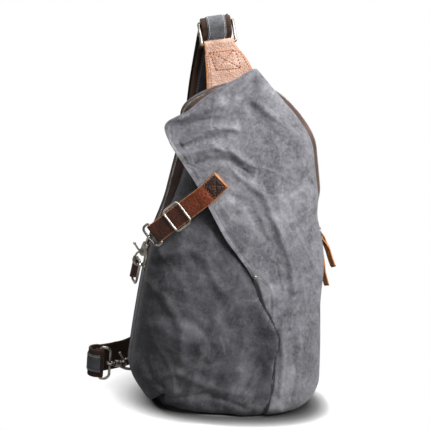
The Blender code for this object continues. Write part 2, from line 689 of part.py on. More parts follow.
SIDE_WIRE = 0.0015
SIDE_FOLD = V((-0.1085, -0.0285, 0.2255))       # the ring's upper wire, inside the strap's fold
SIDE_START = V((-0.0330, -0.0418, 0.3000))      # its end, sewn to the flap
SIDE_KNEE = V((-0.0520, -0.0482, 0.2815))       # where it leaves the flap's edge
SIDE_ALONG = (SIDE_FOLD - SIDE_KNEE).normalized()
SIDE_NORMAL = V((-0.22, -0.95, 0.12))
SIDE_NORMAL = (SIDE_NORMAL - SIDE_ALONG * SIDE_NORMAL.dot(SIDE_ALONG)).normalized()
SIDE_ACROSS = SIDE_ALONG.cross(SIDE_NORMAL).normalized()
SIDE_RING_REACH = 0.0105
BUCKLE_FROM_FOLD = 0.0370
HOOK_DIRECTION = V((-0.27, 0.24, -0.93)).normalized()


def build_side_strap(leather, metal):
    bend = SIDE_WIRE + FOLD_SLACK + LEATHER / 2
    fold_offset = SIDE_NORMAL * bend
    path = smooth_path([SIDE_START, SIDE_START.lerp(SIDE_KNEE, 0.5) - Y_AXIS * 0.0008,
                        SIDE_KNEE, SIDE_KNEE.lerp(SIDE_FOLD + fold_offset, 0.25)], 2)
    path += [SIDE_KNEE.lerp(SIDE_FOLD + fold_offset, 0.7), SIDE_FOLD + fold_offset]
    path += [SIDE_FOLD + (SIDE_NORMAL * math.cos(a) + SIDE_ALONG * math.sin(a)) * bend
             for a in (math.pi * k / 6 for k in range(1, 6))]
    path += [SIDE_FOLD - fold_offset, SIDE_FOLD - fold_offset - SIDE_ALONG * 0.018]
    add_object("side_strap", *ribbon(strap_stations(path, SIDE_ACROSS, SIDE_STRAP_WIDTH), LEATHER),
               leather, smooth=40)
    build_side_buckle(metal)


def build_side_buckle(metal):
    """A bowed slide: its outer bars lie over the strap and its centre bar passes beneath."""
    wire = 0.0014
    half, reach = SIDE_STRAP_WIDTH / 2 + 0.0014 + wire, 0.0115
    fold_top = SIDE_FOLD + SIDE_NORMAL * (SIDE_WIRE + FOLD_SLACK + LEATHER / 2)
    strap_at = fold_top + (SIDE_KNEE - fold_top).normalized() * BUCKLE_FROM_FOLD
    body = pivot("side_buckle_pivot", strap_at)
    lift = SIDE_NORMAL * (LEATHER / 2 + 0.0007 + wire)
    top = strap_at + lift
    low = strap_at - lift - SIDE_NORMAL * 0.0004
    frame = rounded_loop(top, SIDE_ACROSS, SIDE_ALONG, half, reach, (0.0045, 0.0045))
    buckle = add_object("side_buckle", *planar_tube(
        frame, SIDE_ACROSS.cross(SIDE_ALONG), wire), metal, body, smooth=50)
    bow = [top + SIDE_ACROSS * half, top.lerp(low, 0.7) + SIDE_ACROSS * half,
           low + SIDE_ACROSS * (half - 0.002), low - SIDE_ACROSS * (half - 0.002),
           top.lerp(low, 0.7) - SIDE_ACROSS * half, top - SIDE_ACROSS * half]
    boolean(buckle, add_object("buckle_centre_bar", *planar_tube(
        bow, SIDE_ALONG, wire * 0.97, closed=False), metal, body), "UNION")


# ---- Clips --------------------------------------------------------------------------------------

EYE_RADIUS, EYE_WIRE = 0.0044 * HOOK_SCALE, 0.0013 * HOOK_SCALE
BIGHT_Z, BIGHT_RADIUS, BIGHT_WIRE = 0.0285, 0.0064, 0.0018   # before scaling
D_RING_WIRE = 0.0015
HOLD_SLACK = 0.0028                  # play between the D-ring's wire and the bottom of the bight
HOOK_REACH = (BIGHT_Z + BIGHT_RADIUS - BIGHT_WIRE) * HOOK_SCALE - D_RING_WIRE - HOLD_SLACK


def build_clip(prefix, wire_point, wire_along, wire_radius, direction, face, hand, metal,
               parent):
    """A swivel clip on a wire: eye with stud, hook body, sprung gate and its pin.

    hand is 1 or -1, the side that the hook's shank is on.
    """
    s = HOOK_SCALE
    up = -direction
    eye_centre = wire_point + direction * (EYE_RADIUS - EYE_WIRE - wire_radius - 0.0008)
    eye_normal = (wire_along - direction * wire_along.dot(direction)).normalized()
    eye_pivot = pivot(f"{prefix}_eye_pivot", wire_point, parent)
    eye_side = eye_normal.cross(up).normalized()
    circle = [eye_centre + (eye_side * math.cos(a) + up * math.sin(a)) * EYE_RADIUS
              for a in (2 * math.pi * k / 18 for k in range(18))]
    eye = add_object(f"{prefix}_eye", *planar_tube(circle, eye_normal, EYE_WIRE), metal,
                     eye_pivot, smooth=50)
    stud = [(0.0018, 0.0046), (0.0018, 0.0091), (0.0027, 0.0094), (0.0027, 0.0108)]
    boolean(eye, add_object(f"{prefix}_stud", *lathe(
        [(r * s, h * s) for r, h in stud], eye_centre, direction, 12), metal, eye_pivot), "UNION")

    face = (face - direction * face.dot(direction)).normalized()
    side = up.cross(face).normalized() * hand

    def at(x, z, y=0.0):
        return eye_centre + (side * x + up * z + face * y) * s

    hook_pivot = pivot(f"{prefix}_hook_pivot", eye_centre, eye_pivot)
    barrel = [(0.0021, 0.0061), (0.0040, 0.0061), (0.0042, 0.0070), (0.0042, 0.0128),
              (0.0030, 0.0136), (0.0010, 0.0136), (0.0010, 0.0122), (0.0030, 0.0112),
              (0.0030, 0.0089), (0.0021, 0.0087), (0.0021, 0.0061)]
    verts, faces = lathe([(r * s, h * s) for r, h in barrel[:-1]], eye_centre, direction, 14)
    faces = faces[:-2] + [(9 * 14 + j, 9 * 14 + (j + 1) % 14, (j + 1) % 14, j) for j in range(14)]
    hook = add_object(f"{prefix}_hook_body", verts, faces, metal, hook_pivot, smooth=50)
    boss = at(0.0004, -0.0172, -0.0027)
    cheeks = add_object(f"{prefix}_cheeks", *lathe(
        [(0.0046 * s, 0), (0.0046 * s, 0.0054 * s)], boss, face, 20), metal, hook_pivot)
    slot = add_object(f"{prefix}_slot", *box(at(-0.0030, -0.0186), side, face, up,
                                             (0.0104 * s, 0.0030 * s, 0.0084 * s)),
                      metal, hook_pivot)
    hole = add_object(f"{prefix}_hole", *lathe(
        [(0.0012 * s, -0.001), (0.0012 * s, 0.0075)], at(-0.0010, -0.0176, -0.0030), face, 12),
        metal, hook_pivot)
    shank = [at(0.0040, -0.0180), at(0.0053, -0.0212), at(0.0062, -0.0250)]
    shank += [at(BIGHT_RADIUS * math.cos(a), -BIGHT_Z - BIGHT_RADIUS * math.sin(a))
              for a in (math.pi * k / 9 for k in range(10))]
    shank.append(at(-0.0063, -0.0262))
    bight = add_object(f"{prefix}_bight", *planar_tube(shank, face, BIGHT_WIRE * s, closed=False),
                       metal, hook_pivot)
    boolean(hook, cheeks, "UNION")
    boolean(hook, slot, "DIFFERENCE")
    boolean(hook, hole, "DIFFERENCE")
    boolean(hook, bight, "UNION")

    hinge = at(-0.0010, -0.0176)
    gate_pivot = pivot(f"{prefix}_gate_pivot", hinge, hook_pivot)
    gate = add_object(f"{prefix}_gate", *lathe(
        [(0.0026 * s, 0), (0.0026 * s, 0.0023 * s)], hinge - face * 0.00115 * s, face, 16),
        metal, gate_pivot, smooth=40)
    bar = [at(-0.0022, -0.0180), at(-0.0054, -0.0206), at(-0.0064, -0.0252)]
    lever = [at(-0.0016, -0.0176), at(-0.0058, -0.0166), at(-0.0125, -0.0110)]
    boolean(gate, add_object(f"{prefix}_gate_bar", *planar_tube(
        bar, face, 0.0011 * s, closed=False), metal, gate_pivot), "UNION")
    boolean(gate, add_object(f"{prefix}_lever", *planar_tube(
        lever, face, 0.0011 * s, closed=False), metal, gate_pivot), "UNION")
    boolean(gate, add_object(f"{prefix}_gate_hole", *lathe(
        [(0.0012 * s, -0.001), (0.0012 * s, 0.005)], hinge - face * 0.0020 * s, face, 12),
        metal, gate_pivot), "DIFFERENCE")
    pin = [(0.0019, -0.0038), (0.0021, -0.0033), (0.0021, -0.0030), (0.0009, -0.0030),
           (0.0009, 0.0030), (0.0021, 0.0030), (0.0021, 0.0033), (0.0019, 0.0038)]
    add_object(f"{prefix}_pin", *lathe([(r * s, h * s) for r, h in pin], hinge, face, 14),
               metal, hook_pivot, smooth=40)
    return eye_centre + direction * HOOK_REACH


def build_catch(prefix, hold, forward, down, depth, height, tab_points, metal, leather):
    """A D-ring whose straight wire sits in a folded leather tab. hold is where the hook holds it."""
    wire = D_RING_WIRE
    near = 0.0080                    # how far the ring reaches past the hook
    across = forward.cross(down).normalized()
    straight_top = hold - forward * (depth - near)
    centre = straight_top + forward * (depth / 2) + down * (height / 2)
    loop = []
    for k, (sx, sy, corner) in enumerate(((1, 1, 0.0075), (-1, 1, 0.0022),
                                          (-1, -1, 0.0022), (1, -1, 0.0075))):
        for i in range(5):
            a = math.pi / 2 * (k + i / 4)
            x = sx * (depth / 2 - corner) + corner * math.cos(a)
            y = sy * (height / 2 - corner) + corner * math.sin(a)
            loop.append(centre + forward * x + down * y)
    hinge = straight_top + down * (height / 2)
    body = pivot(f"{prefix}_d_ring_pivot", hinge)
    add_object(f"{prefix}_d_ring", *planar_tube(loop, across, wire), metal, body, smooth=50)
    bend = wire + FOLD_SLACK + LEATHER / 2
    start, away = tab_points
    away = away.normalized()
    side = down.cross(away).normalized()
    path = [start(hinge, away, side * bend), hinge + away * 0.002 + side * bend]
    path += [hinge + (side * math.cos(a) - away * math.sin(a)) * bend
             for a in (math.pi * k / 6 for k in range(7))]
    path += [hinge + away * 0.002 - side * bend, start(hinge, away, -side * bend)]
    add_object(f"{prefix}_tab", *ribbon(strap_stations(path, down, height - 0.005), LEATHER),
               leather, smooth=40)


def build_clips(metal, leather):
    ring_plane = SIDE_ALONG.lerp(HOOK_DIRECTION, 0.35)
    ring_plane = (ring_plane - SIDE_ACROSS * ring_plane.dot(SIDE_ACROSS)).normalized()
    side_body = pivot("side_ring_pivot", SIDE_FOLD)
    loop = rounded_loop(SIDE_FOLD + ring_plane * (SIDE_RING_REACH / 2), SIDE_ACROSS, ring_plane,
                        SIDE_STRAP_WIDTH / 2 + 0.0008 + SIDE_WIRE, SIDE_RING_REACH / 2,
                        (0.0055, 0.0022))
    add_object("side_ring", *planar_tube(loop, SIDE_ACROSS.cross(ring_plane), SIDE_WIRE), metal,
               side_body, smooth=50)
    hold = build_clip("side", SIDE_FOLD + ring_plane * SIDE_RING_REACH, SIDE_ACROSS, SIDE_WIRE,
                      HOOK_DIRECTION, V((0, -1, 0)), 1, metal, side_body)
    build_catch("side", hold, V((0.10, -0.995, 0)), V((-0.14, 0, -0.99)).normalized(), 0.026,
                0.029, (lambda hinge, away, shift: hinge + away * 0.0046 + shift, X_AXIS),
                metal, leather)

    end_body = pivot("end_ring_pivot", END_FOLD)
    loop = rounded_loop(END_RING, Z_AXIS, X_AXIS, WEBBING_WIDTH / 2 + 0.0008 + END_WIRE,
                        END_RING_REACH / 2, (0.0070, RING_CORNER))
    add_object("end_ring", *planar_tube(loop, Z_AXIS.cross(X_AXIS), END_WIRE), metal, end_body,
               smooth=50)
    direction = V((0.86, 0.47, -0.16)).normalized()
    hold = build_clip("end", END_EYE_POINT, Z_AXIS, END_WIRE, direction, V((0.2, -1, 0.1)), -1,
                      metal, end_body)
    build_catch("end", hold, V((-0.10, 0.995, 0)), Z_AXIS.copy(), 0.024, 0.030,
                (lambda hinge, away, shift: hinge + away * 0.0090 + shift, V((0.45, -0.9, 0))),
                metal, leather)


def main():
    clear_scene()
    canvas = material("waxed_canvas", (0.23, 0.23, 0.26), 0.85)
    lining = material("lining_cotton", (0.30, 0.24, 0.18), 0.9)
    board = material("base_board", (0.15, 0.13, 0.11), 0.8)
    foam = material("foam", (0.55, 0.55, 0.52), 0.9)
    tape = material("zip_tape", (0.13, 0.08, 0.055), 0.85)
    brass = material("antique_metal", (0.42, 0.39, 0.33), 0.35, 0.9)
    webbing = material("brown_webbing", (0.10, 0.055, 0.035), 0.9)
    tan = material("tan_leather", (0.50, 0.24, 0.14), 0.5)
    brown = material("brown_leather", (0.17, 0.065, 0.035), 0.45)
    build_body(canvas, lining, board, foam)
    build_flap(canvas, brass)
    build_zip(tape, brass, brown)
    build_top(tan, brass)
    build_strap(webbing, canvas, brass)
    build_side_strap(brown, brass)
    build_clips(brass, brown)


main()
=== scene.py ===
"""The waxed-canvas sling bag's visual model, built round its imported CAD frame."""
import math

import bmesh
import bpy
import numpy as np
from mathutils import Matrix, Vector, noise


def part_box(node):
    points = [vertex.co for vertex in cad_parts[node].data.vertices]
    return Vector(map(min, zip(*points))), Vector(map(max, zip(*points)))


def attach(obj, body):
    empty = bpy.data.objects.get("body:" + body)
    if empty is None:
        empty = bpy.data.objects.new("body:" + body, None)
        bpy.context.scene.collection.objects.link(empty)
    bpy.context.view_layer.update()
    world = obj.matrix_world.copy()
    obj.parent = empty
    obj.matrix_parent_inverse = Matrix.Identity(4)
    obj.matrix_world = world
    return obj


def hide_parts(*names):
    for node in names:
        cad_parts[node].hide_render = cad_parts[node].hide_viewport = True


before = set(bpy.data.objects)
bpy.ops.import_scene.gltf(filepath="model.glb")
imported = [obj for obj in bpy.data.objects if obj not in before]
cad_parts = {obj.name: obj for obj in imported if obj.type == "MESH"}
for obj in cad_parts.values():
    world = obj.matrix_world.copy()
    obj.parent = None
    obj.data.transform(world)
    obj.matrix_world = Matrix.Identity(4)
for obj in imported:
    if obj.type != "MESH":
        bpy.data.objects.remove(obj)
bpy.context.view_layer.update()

V = Vector
X_AXIS, Y_AXIS, Z_AXIS = V((1, 0, 0)), V((0, 1, 0)), V((0, 0, 1))

# ---- The CAD model's driving dimensions, in metres ------------------------------------------------

BASE_HALF_WIDTH, SIDE_RADIUS, SIDE_CENTRE_Z = 0.1298, 2.2, -0.095
CROWN_RADIUS, CORNER_RADIUS = 0.088, 0.040
SEAM_Y, BAND_BACK_Y, BACK_THICKNESS = 0.010, 0.042, 0.003
BELLY_DEPTH, BELLY_Z, TOE_DEPTH, TOE_HEIGHT, CROWN_DEPTH = 0.078, 0.10, 0.063, 0.025, 0.020
SHELL_POWER, ARCH_INSET, CLOTH, GAP = 2.6, 0.0108, 0.0016, 0.0003
ZIP_START_Z, CHAIN_Y, CHAIN_WIDTH = 0.165, 0.025, 0.006
SLIDER_UPPER_Z, SLIDER_LOWER_Z = 0.2275, 0.2055
WEBBING_WIDTH, WEBBING_THICKNESS = 0.038, 0.0024
FACING_WIDTH, FACING_THICKNESS = 0.024, 0.0008
LEATHER, PULL_WIDTH, PULL_TWIST, SIDE_STRAP_WIDTH = 0.0022, 0.0068, math.radians(60), 0.025
TOP_LEAN, RING_BACK_LEAN, HOOK_SCALE = math.radians(11.5), math.radians(25), 1.12

SIDE_CENTRE_X = BASE_HALF_WIDTH - SIDE_RADIUS
CROWN_CENTRE_Z = SIDE_CENTRE_Z + math.sqrt((SIDE_RADIUS - CROWN_RADIUS) ** 2 - SIDE_CENTRE_X ** 2)
CORNER_CENTRE_X = SIDE_CENTRE_X + math.sqrt(
    (SIDE_RADIUS - CORNER_RADIUS) ** 2 - (CORNER_RADIUS - SIDE_CENTRE_Z) ** 2)
CROWN_Z = CROWN_CENTRE_Z + CROWN_RADIUS
CROWN_ANGLE = math.atan2(CROWN_CENTRE_Z - SIDE_CENTRE_Z, -SIDE_CENTRE_X)
CORNER_ANGLE = math.atan2(CORNER_RADIUS - SIDE_CENTRE_Z, CORNER_CENTRE_X - SIDE_CENTRE_X)


# ---- Shader helpers -------------------------------------------------------------------------------

class Shader:
    """A material whose nodes are added by short calls; values may be numbers or sockets."""

    def __init__(self, name, **constants):
        self.mat = bpy.data.materials.new(name)
        self.mat.use_nodes = True
        self.tree = self.mat.node_tree
        self.out = self.tree.nodes["Principled BSDF"]
        for socket, value in constants.items():
            self.out.inputs[socket.replace("_", " ")].default_value = value

    def put(self, socket, value):
        if isinstance(value, bpy.types.NodeSocket):
            self.tree.links.new(value, socket)
        elif value is not None:
            socket.default_value = value

    def node(self, kind, inputs=(), **settings):
        made = self.tree.nodes.new("ShaderNode" + kind)
        for key, value in settings.items():
            setattr(made, key, value)
        for key, value in dict(inputs).items():
            self.put(made.inputs[key], value)
        return made

    def math(self, operation, *values, clamp=False):
        made = self.node("Math", operation=operation, use_clamp=clamp)
        for socket, value in zip(made.inputs, values):
            self.put(socket, value)
        return made.outputs[0]

    def coords(self, kind="Object"):
        return self.node("TexCoord").outputs[kind]

    def scaled(self, vector, scale, turn=(0, 0, 0)):
        return self.node("Mapping", {"Vector": vector, "Scale": scale, "Rotation": turn}).outputs[0]

    def noise(self, vector, scale, detail=4.0, rough=0.55, distortion=0.0):
        return self.node("TexNoise", {"Vector": vector, "Scale": scale, "Detail": detail,
                                      "Roughness": rough, "Distortion": distortion},
                         noise_type="FBM").outputs["Fac"]

    def voronoi(self, vector, scale, feature="F1"):
        made = self.node("TexVoronoi", {"Vector": vector, "Scale": scale, "Randomness": 1.0},
                         feature=feature)
        return made.outputs["Distance"]

    def ramp(self, value, *stops):
        """stops are (position, grey or colour)."""
        made = self.node("ValToRGB", {"Fac": value})
        elements = made.color_ramp.elements
        for i, (position, colour) in enumerate(stops):
            element = elements[i] if i < len(elements) else elements.new(position)
            element.position = position
            element.color = (*((colour,) * 3 if isinstance(colour, (int, float)) else colour), 1)
        return made.outputs[0]

    def mix(self, factor, a, b, blend="MIX"):
        made = self.node("Mix", data_type="RGBA", blend_type=blend)
        for index, value in ((0, factor), (6, a), (7, b)):
            self.put(made.inputs[index], (*value, 1) if isinstance(value, tuple) else value)
        return made.outputs[2]

    def warped(self, vector, scale, amount):
        made = self.node("TexNoise", {"Vector": vector, "Scale": scale, "Detail": 2.0})
        shift = self.node("VectorMath", {0: made.outputs["Color"], 1: (0.5, 0.5, 0.5)},
                          operation="SUBTRACT").outputs[0]
        long = self.node("VectorMath", {0: shift}, operation="SCALE")
        long.inputs["Scale"].default_value = amount
        return self.node("VectorMath", {0: vector, 1: long.outputs[0]}, operation="ADD").outputs[0]

    def weave(self, pitch, rib=False):
        """Height of a plain weave, or of ribs across the width, from UVs in metres."""
        uv = self.node("SeparateXYZ", {0: self.coords("UV")})
        k = 2 * math.pi / pitch
        across = self.math("SINE", self.math("MULTIPLY", uv.outputs[0], k))
        along = self.math("SINE", self.math("MULTIPLY", uv.outputs[1], k * (0.6 if rib else 1)))
        return self.math("MULTIPLY_ADD", self.math("MULTIPLY", across, along), 0.5, 0.5)

    def finish(self, colour=None, rough=None, heights=()):
        """heights are (height socket, distance in metres, strength) from fine to coarse."""
        self.put(self.out.inputs["Base Color"],
                 (*colour, 1) if isinstance(colour, tuple) else colour)
        self.put(self.out.inputs["Roughness"], rough)
        normal = None
        for height, distance, strength in heights:
            bump = self.node("Bump", {"Height": height, "Distance": distance, "Strength": strength})
            if normal is not None:
                self.tree.links.new(normal, bump.inputs["Normal"])
            normal = bump.outputs[0]
        if normal is not None:
            self.tree.links.new(normal, self.out.inputs["Normal"])
        return self.mat


def canvas_material(name="waxed_canvas", low=(0.042, 0.042, 0.050), high=(0.235, 0.233, 0.256),
                    chalk=(0.47, 0.465, 0.49)):
    """Waxed canvas: fine suede-like mottling, soft chalky smudges, faint creases, plain weave;
    negative wear is painted shade.
    """
    s = Shader(name, Sheen_Weight=0.10, Sheen_Roughness=0.5, Specular_IOR_Level=0.25)
    at = s.coords()
    cloud = s.noise(at, 13.0, 6.0, 0.62, 0.6)
    patchy = s.noise(at, 48.0, 6.0, 0.68, 0.3)
    fine = s.noise(at, 260.0, 5.0, 0.75)
    mottled = s.math("ADD", s.math("MULTIPLY", cloud, 0.28), s.math("ADD",
                     s.math("MULTIPLY", patchy, 0.34), s.math("MULTIPLY", fine, 0.38)))
    base = s.ramp(mottled, (0.38, low), (0.63, high))
    bent = s.warped(at, 9.0, 0.05)
    long = s.scaled(bent, (1.0, 1.0, 0.38), (0, math.radians(20), 0))
    veins = s.ramp(s.voronoi(long, 19.0, "DISTANCE_TO_EDGE"), (0.0, 1.0), (0.012, 0.35), (0.05, 0.0))
    broken = s.ramp(s.noise(at, 21.0, 3.0), (0.50, 0.0), (0.66, 1.0))
    smoke = s.ramp(s.noise(bent, 21.0, 6.0, 0.66, 1.1), (0.48, 0.0), (0.78, 1.0))
    worn = s.node("Attribute", attribute_name="wear").outputs["Fac"]
    scratch = s.ramp(s.voronoi(s.scaled(bent, (1.0, 1.0, 0.5), (0, math.radians(-35), 0)), 52.0,
                               "DISTANCE_TO_EDGE"), (0.0, 1.0), (0.02, 0.3), (0.05, 0.0))
    sparse = s.ramp(s.noise(at, 34.0, 3.0), (0.54, 0.0), (0.66, 1.0))
    lines = s.math("MAXIMUM", s.math("MULTIPLY", veins, broken),
                   s.math("MULTIPLY", s.math("MULTIPLY", scratch, sparse), 0.8))
    rubbed = s.math("MULTIPLY", worn, s.ramp(patchy, (0.35, 0.2), (0.65, 1.0)))
    total = s.math("ADD", s.math("MULTIPLY", lines, 0.26),
                   s.math("ADD", s.math("MULTIPLY", smoke, 0.36), s.math("MULTIPLY", rubbed, 0.34)),
                   clamp=True)
    colour = s.mix(total, base, chalk)
    # negative wear darkens the canvas: painted shade in the gaps along the diagonal ridge and the
    # flap's sewn edge
    painted_gap_shade = s.math("MULTIPLY", worn, -1.0, clamp=True)
    colour = s.mix(painted_gap_shade, colour, tuple(c * 0.25 for c in low))
    weave = s.weave(0.0011)
    colour = s.mix(0.16, colour, s.ramp(weave, (0.0, 0.25), (1.0, 1.0)), "MULTIPLY")
    rough = s.ramp(s.math("ADD", total, s.math("MULTIPLY", fine, 0.3)), (0.0, 0.66), (1.0, 0.90))
    return s.finish(colour, rough, (
        (weave, 0.00012, 0.7), (fine, 0.0007, 0.55), (patchy, 0.0017, 0.55), (cloud, 0.004, 0.5)))


def leather_material(name, dark, light, edge_tint, pebble, gloss, bend=None, patch=None):
    """Pebbled leather: grain, pull-up variation, pale wear on the crests; bend is where it pales."""
    s = Shader(name, Specular_IOR_Level=0.32, Coat_Weight=0.06, Coat_Roughness=0.35)
    at = s.coords()
    grain = s.voronoi(s.warped(at, 190.0, 0.0016), pebble, "SMOOTH_F1")
    creases = s.ramp(s.voronoi(s.warped(at, 190.0, 0.0016), pebble, "DISTANCE_TO_EDGE"),
                     (0.0, 1.0), (0.09, 0.35), (0.28, 0.0))
    cloud = s.noise(at, 42.0, 5.0, 0.62, 0.3)
    fine = s.noise(at, 420.0, 3.0, 0.6)
    colour = s.ramp(cloud, (0.30, dark), (0.72, light))
    if bend is not None:
        centre, radius, tint = bend
        apart = s.node("VectorMath", {0: at, 1: centre}, operation="DISTANCE").outputs["Value"]
        near = s.ramp(s.math("DIVIDE", apart, radius), (0.25, 1.0), (1.0, 0.0))
        near = s.math("MULTIPLY", near, s.ramp(cloud, (0.25, 0.35), (0.6, 1.0)))
        colour = s.mix(near, colour, tint)
    if patch is not None:
        reach, half, tint = patch
        uv = s.node("SeparateXYZ", {0: s.coords("UV")})
        in_length = s.ramp(s.math("DIVIDE", uv.outputs[1], reach), (0.08, 0.0), (0.14, 1.0),
                           (0.84, 1.0), (0.92, 0.0))
        wide = s.math("DIVIDE", s.math("ABSOLUTE", uv.outputs[0]), half)
        inside = s.math("MULTIPLY", in_length, s.ramp(wide, (0.72, 1.0), (0.90, 0.0)))
        inside = s.math("MULTIPLY", inside, s.ramp(cloud, (0.20, 0.55), (0.5, 1.0)))
        colour = s.mix(inside, colour, tint)
        s.put(s.out.inputs["Coat Weight"], s.ramp(inside, (0.0, 0.06), (0.6, 0.0)))
        s.put(s.out.inputs["Specular IOR Level"], s.ramp(inside, (0.0, 0.32), (0.6, 0.08)))
    worn = s.node("Attribute", attribute_name="wear").outputs["Fac"]
    colour = s.mix(s.math("MULTIPLY", worn, 0.8, clamp=True), colour, edge_tint)
    colour = s.mix(s.math("MULTIPLY", creases, 0.78), colour, dark)
    rough = s.ramp(s.math("ADD", s.math("MULTIPLY", cloud, 0.6), s.math("MULTIPLY", creases, 0.5)),
                   (0.0, gloss), (1.0, gloss + 0.30))
    return s.finish(colour, rough, ((fine, 0.00015, 0.25), (grain, 0.0010, 0.80)))


def edge_material(name, low, high):
    """A leather strap's painted or raw edge."""
    s = Shader(name, Specular_IOR_Level=0.4)
    at = s.coords()
    streak = s.noise(at, 260.0, 4.0, 0.7)
    colour = s.ramp(streak, (0.3, low), (0.7, high))
    return s.finish(colour, s.ramp(streak, (0.0, 0.35), (1.0, 0.65)), ((streak, 0.0002, 0.4),))


def metal_material(name="antique_nickel", bright=(0.50, 0.48, 0.43), dull=(0.16, 0.145, 0.12)):
    """Antique nickel: bright plating with darker patina in blotches and fine brush marks."""
    s = Shader(name, Metallic=1.0)
    at = s.coords()
    blotch = s.noise(at, 95.0, 5.0, 0.65)
    marks = s.noise(s.scaled(at, (1.0, 1.0, 0.25)), 900.0, 3.0, 0.6)
    worn = s.node("Attribute", attribute_name="wear").outputs["Fac"]
    mask = s.ramp(s.math("ADD", blotch, s.math("MULTIPLY", worn, 0.3)), (0.36, 0.0), (0.58, 1.0))
    colour = s.mix(mask, dull, bright)
    rough = s.ramp(s.math("ADD", s.math("MULTIPLY", blotch, 0.7), s.math("MULTIPLY", marks, 0.3)),
                   (0.25, 0.42), (0.75, 0.20))
    return s.finish(colour, rough, ((marks, 0.00004, 0.30), (blotch, 0.0004, 0.20)))


def cloth_material(name, low, high, pitch, rib=False, light=None):
    """A woven band or lining: threads from the UVs, fuzz and slow colour change."""
    s = Shader(name, Sheen_Weight=0.1, Sheen_Roughness=0.4, Specular_IOR_Level=0.25)
    at = s.coords()
    weave = s.weave(pitch, rib=rib)
    cloud = s.noise(at, 30.0, 4.0, 0.6)
    fibre = s.noise(at, 500.0, 4.0, 0.7)
    colour = s.ramp(s.math("ADD", s.math("MULTIPLY", cloud, 0.6), s.math("MULTIPLY", fibre, 0.4)),
                    (0.32, low), (0.68, high))
    colour = s.mix(0.45, colour, s.ramp(weave, (0.0, 0.35), (1.0, 1.0)), "MULTIPLY")
    if light is not None:
        worn = s.node("Attribute", attribute_name="wear").outputs["Fac"]
        colour = s.mix(s.math("MULTIPLY", worn, 0.8, clamp=True), colour, light)
    return s.finish(colour, s.ramp(fibre, (0.0, 0.75), (1.0, 0.95)),
                    ((fibre, 0.0002, 0.35), (weave, 0.0003, 0.75)))


def thread_material(name, colour):
    s = Shader(name, Sheen_Weight=0.3, Specular_IOR_Level=0.35)
    at = s.coords()
    twist = s.node("TexWave", {"Vector": at, "Scale": 900.0, "Distortion": 2.0},
                   bands_direction="DIAGONAL").outputs["Fac"]
    dim = tuple(c * 0.55 for c in colour)
    return s.finish(s.ramp(twist, (0.0, dim), (1.0, colour)), s.ramp(twist, (0.0, 0.7), (1.0, 0.5)),
                    ((twist, 0.0001, 0.4),))


def board_material():
    s = Shader("pressed_board")
    at = s.coords()
    fibre = s.noise(s.scaled(at, (1.0, 0.3, 1.0)), 300.0, 5.0, 0.7)
    return s.finish(s.ramp(fibre, (0.3, (0.10, 0.08, 0.065)), (0.7, (0.19, 0.16, 0.13))),
                    s.ramp(fibre, (0.0, 0.75), (1.0, 0.92)), ((fibre, 0.0003, 0.5),))


# ---- Mesh helpers ---------------------------------------------------------------------------------

def add_piece(name, verts, faces, mats, slot, body="bag", nodes=(), uv=None, wear=None,
              face_mats=None, sharp=40):
    """A piece in world coordinates that rides on a body, wears mats and replaces CAD nodes."""
    mesh = bpy.data.meshes.new(name)
    mesh.from_pydata([tuple(v) for v in verts], [], faces)
    mats = mats if isinstance(mats, (list, tuple)) else [mats]
    for mat in mats:
        mesh.materials.append(mat)
    if face_mats is not None:
        mesh.polygons.foreach_set("material_index", face_mats)
    if uv is not None:
        loops = np.empty(len(mesh.loops), dtype=np.int32)
        mesh.loops.foreach_get("vertex_index", loops)
        layer = mesh.uv_layers.new(name="cloth")
        layer.data.foreach_set("uv", np.asarray(uv, dtype=np.float32)[loops].ravel())
    if wear is not None:
        layer = mesh.attributes.new("wear", "FLOAT", "POINT")
        layer.data.foreach_set("value", np.asarray(wear, dtype=np.float32).ravel())
    bm = bmesh.new()
    bm.from_mesh(mesh)
    bmesh.ops.recalc_face_normals(bm, faces=bm.faces)
    bm.to_mesh(mesh)
    bm.free()
    mesh.shade_smooth()
    mesh.set_sharp_from_angle(angle=math.radians(sharp))
    piece = bpy.data.objects.new(name, mesh)
    bpy.context.scene.collection.objects.link(piece)
    if body:
        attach(piece, body)
    if nodes:
        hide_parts(*([nodes] if isinstance(nodes, str) else nodes))
    return piece


def join_parts(parts):
    """Joins (verts, faces) parts into one list of each."""
    verts, faces = [], []
    for part_verts, part_faces in parts:
        start = len(verts)
        verts += list(part_verts)
        faces += [tuple(i + start for i in face) for face in part_faces]
    return verts, faces


def loft(rings, capped=True):
    n = len(rings[0])
    verts = [p for ring in rings for p in ring]
    faces = []
    for i in range(len(rings) - 1):
        for j in range(n):
            k = (j + 1) % n
            faces.append((i * n + j, i * n + k, (i + 1) * n + k, (i + 1) * n + j))
    if capped:
        faces.append(tuple(range(n))[::-1])
        faces.append(tuple(range((len(rings) - 1) * n, len(rings) * n)))
    return verts, faces


def smooth_path(points, per_span):
    """Points along a Catmull-Rom curve through the given ones."""
    pts = [V(p) for p in points]
    pts = [2 * pts[0] - pts[1]] + pts + [2 * pts[-1] - pts[-2]]
    out = []
    for i in range(1, len(pts) - 2):
        p0, p1, p2, p3 = pts[i - 1:i + 3]
        for s in range(per_span):
            t = s / per_span
            out.append(0.5 * (2 * p1 + (p2 - p0) * t + (2 * p0 - 5 * p1 + 4 * p2 - p3) * t * t
                              + (3 * p1 - p0 - 3 * p2 + p3) * t ** 3))
    return out + [pts[-2]]


def tangents(points, closed=False):
    n = len(points)
    if closed:
        return [(points[(i + 1) % n] - points[i - 1]).normalized() for i in range(n)]
    return [(points[min(i + 1, n - 1)] - points[max(i - 1, 0)]).normalized() for i in range(n)]


def strap_stations(points, across, width):
    """Stations along a path; across is one direction or one for each point."""
    hints = across if isinstance(across, list) else [across] * len(points)
    out = []
    for point, tangent, hint in zip(points, tangents(points), hints):
        half = (hint - tangent * hint.dot(tangent)).normalized()
        out.append((point, half * (width / 2), tangent.cross(half).normalized()))
    return out


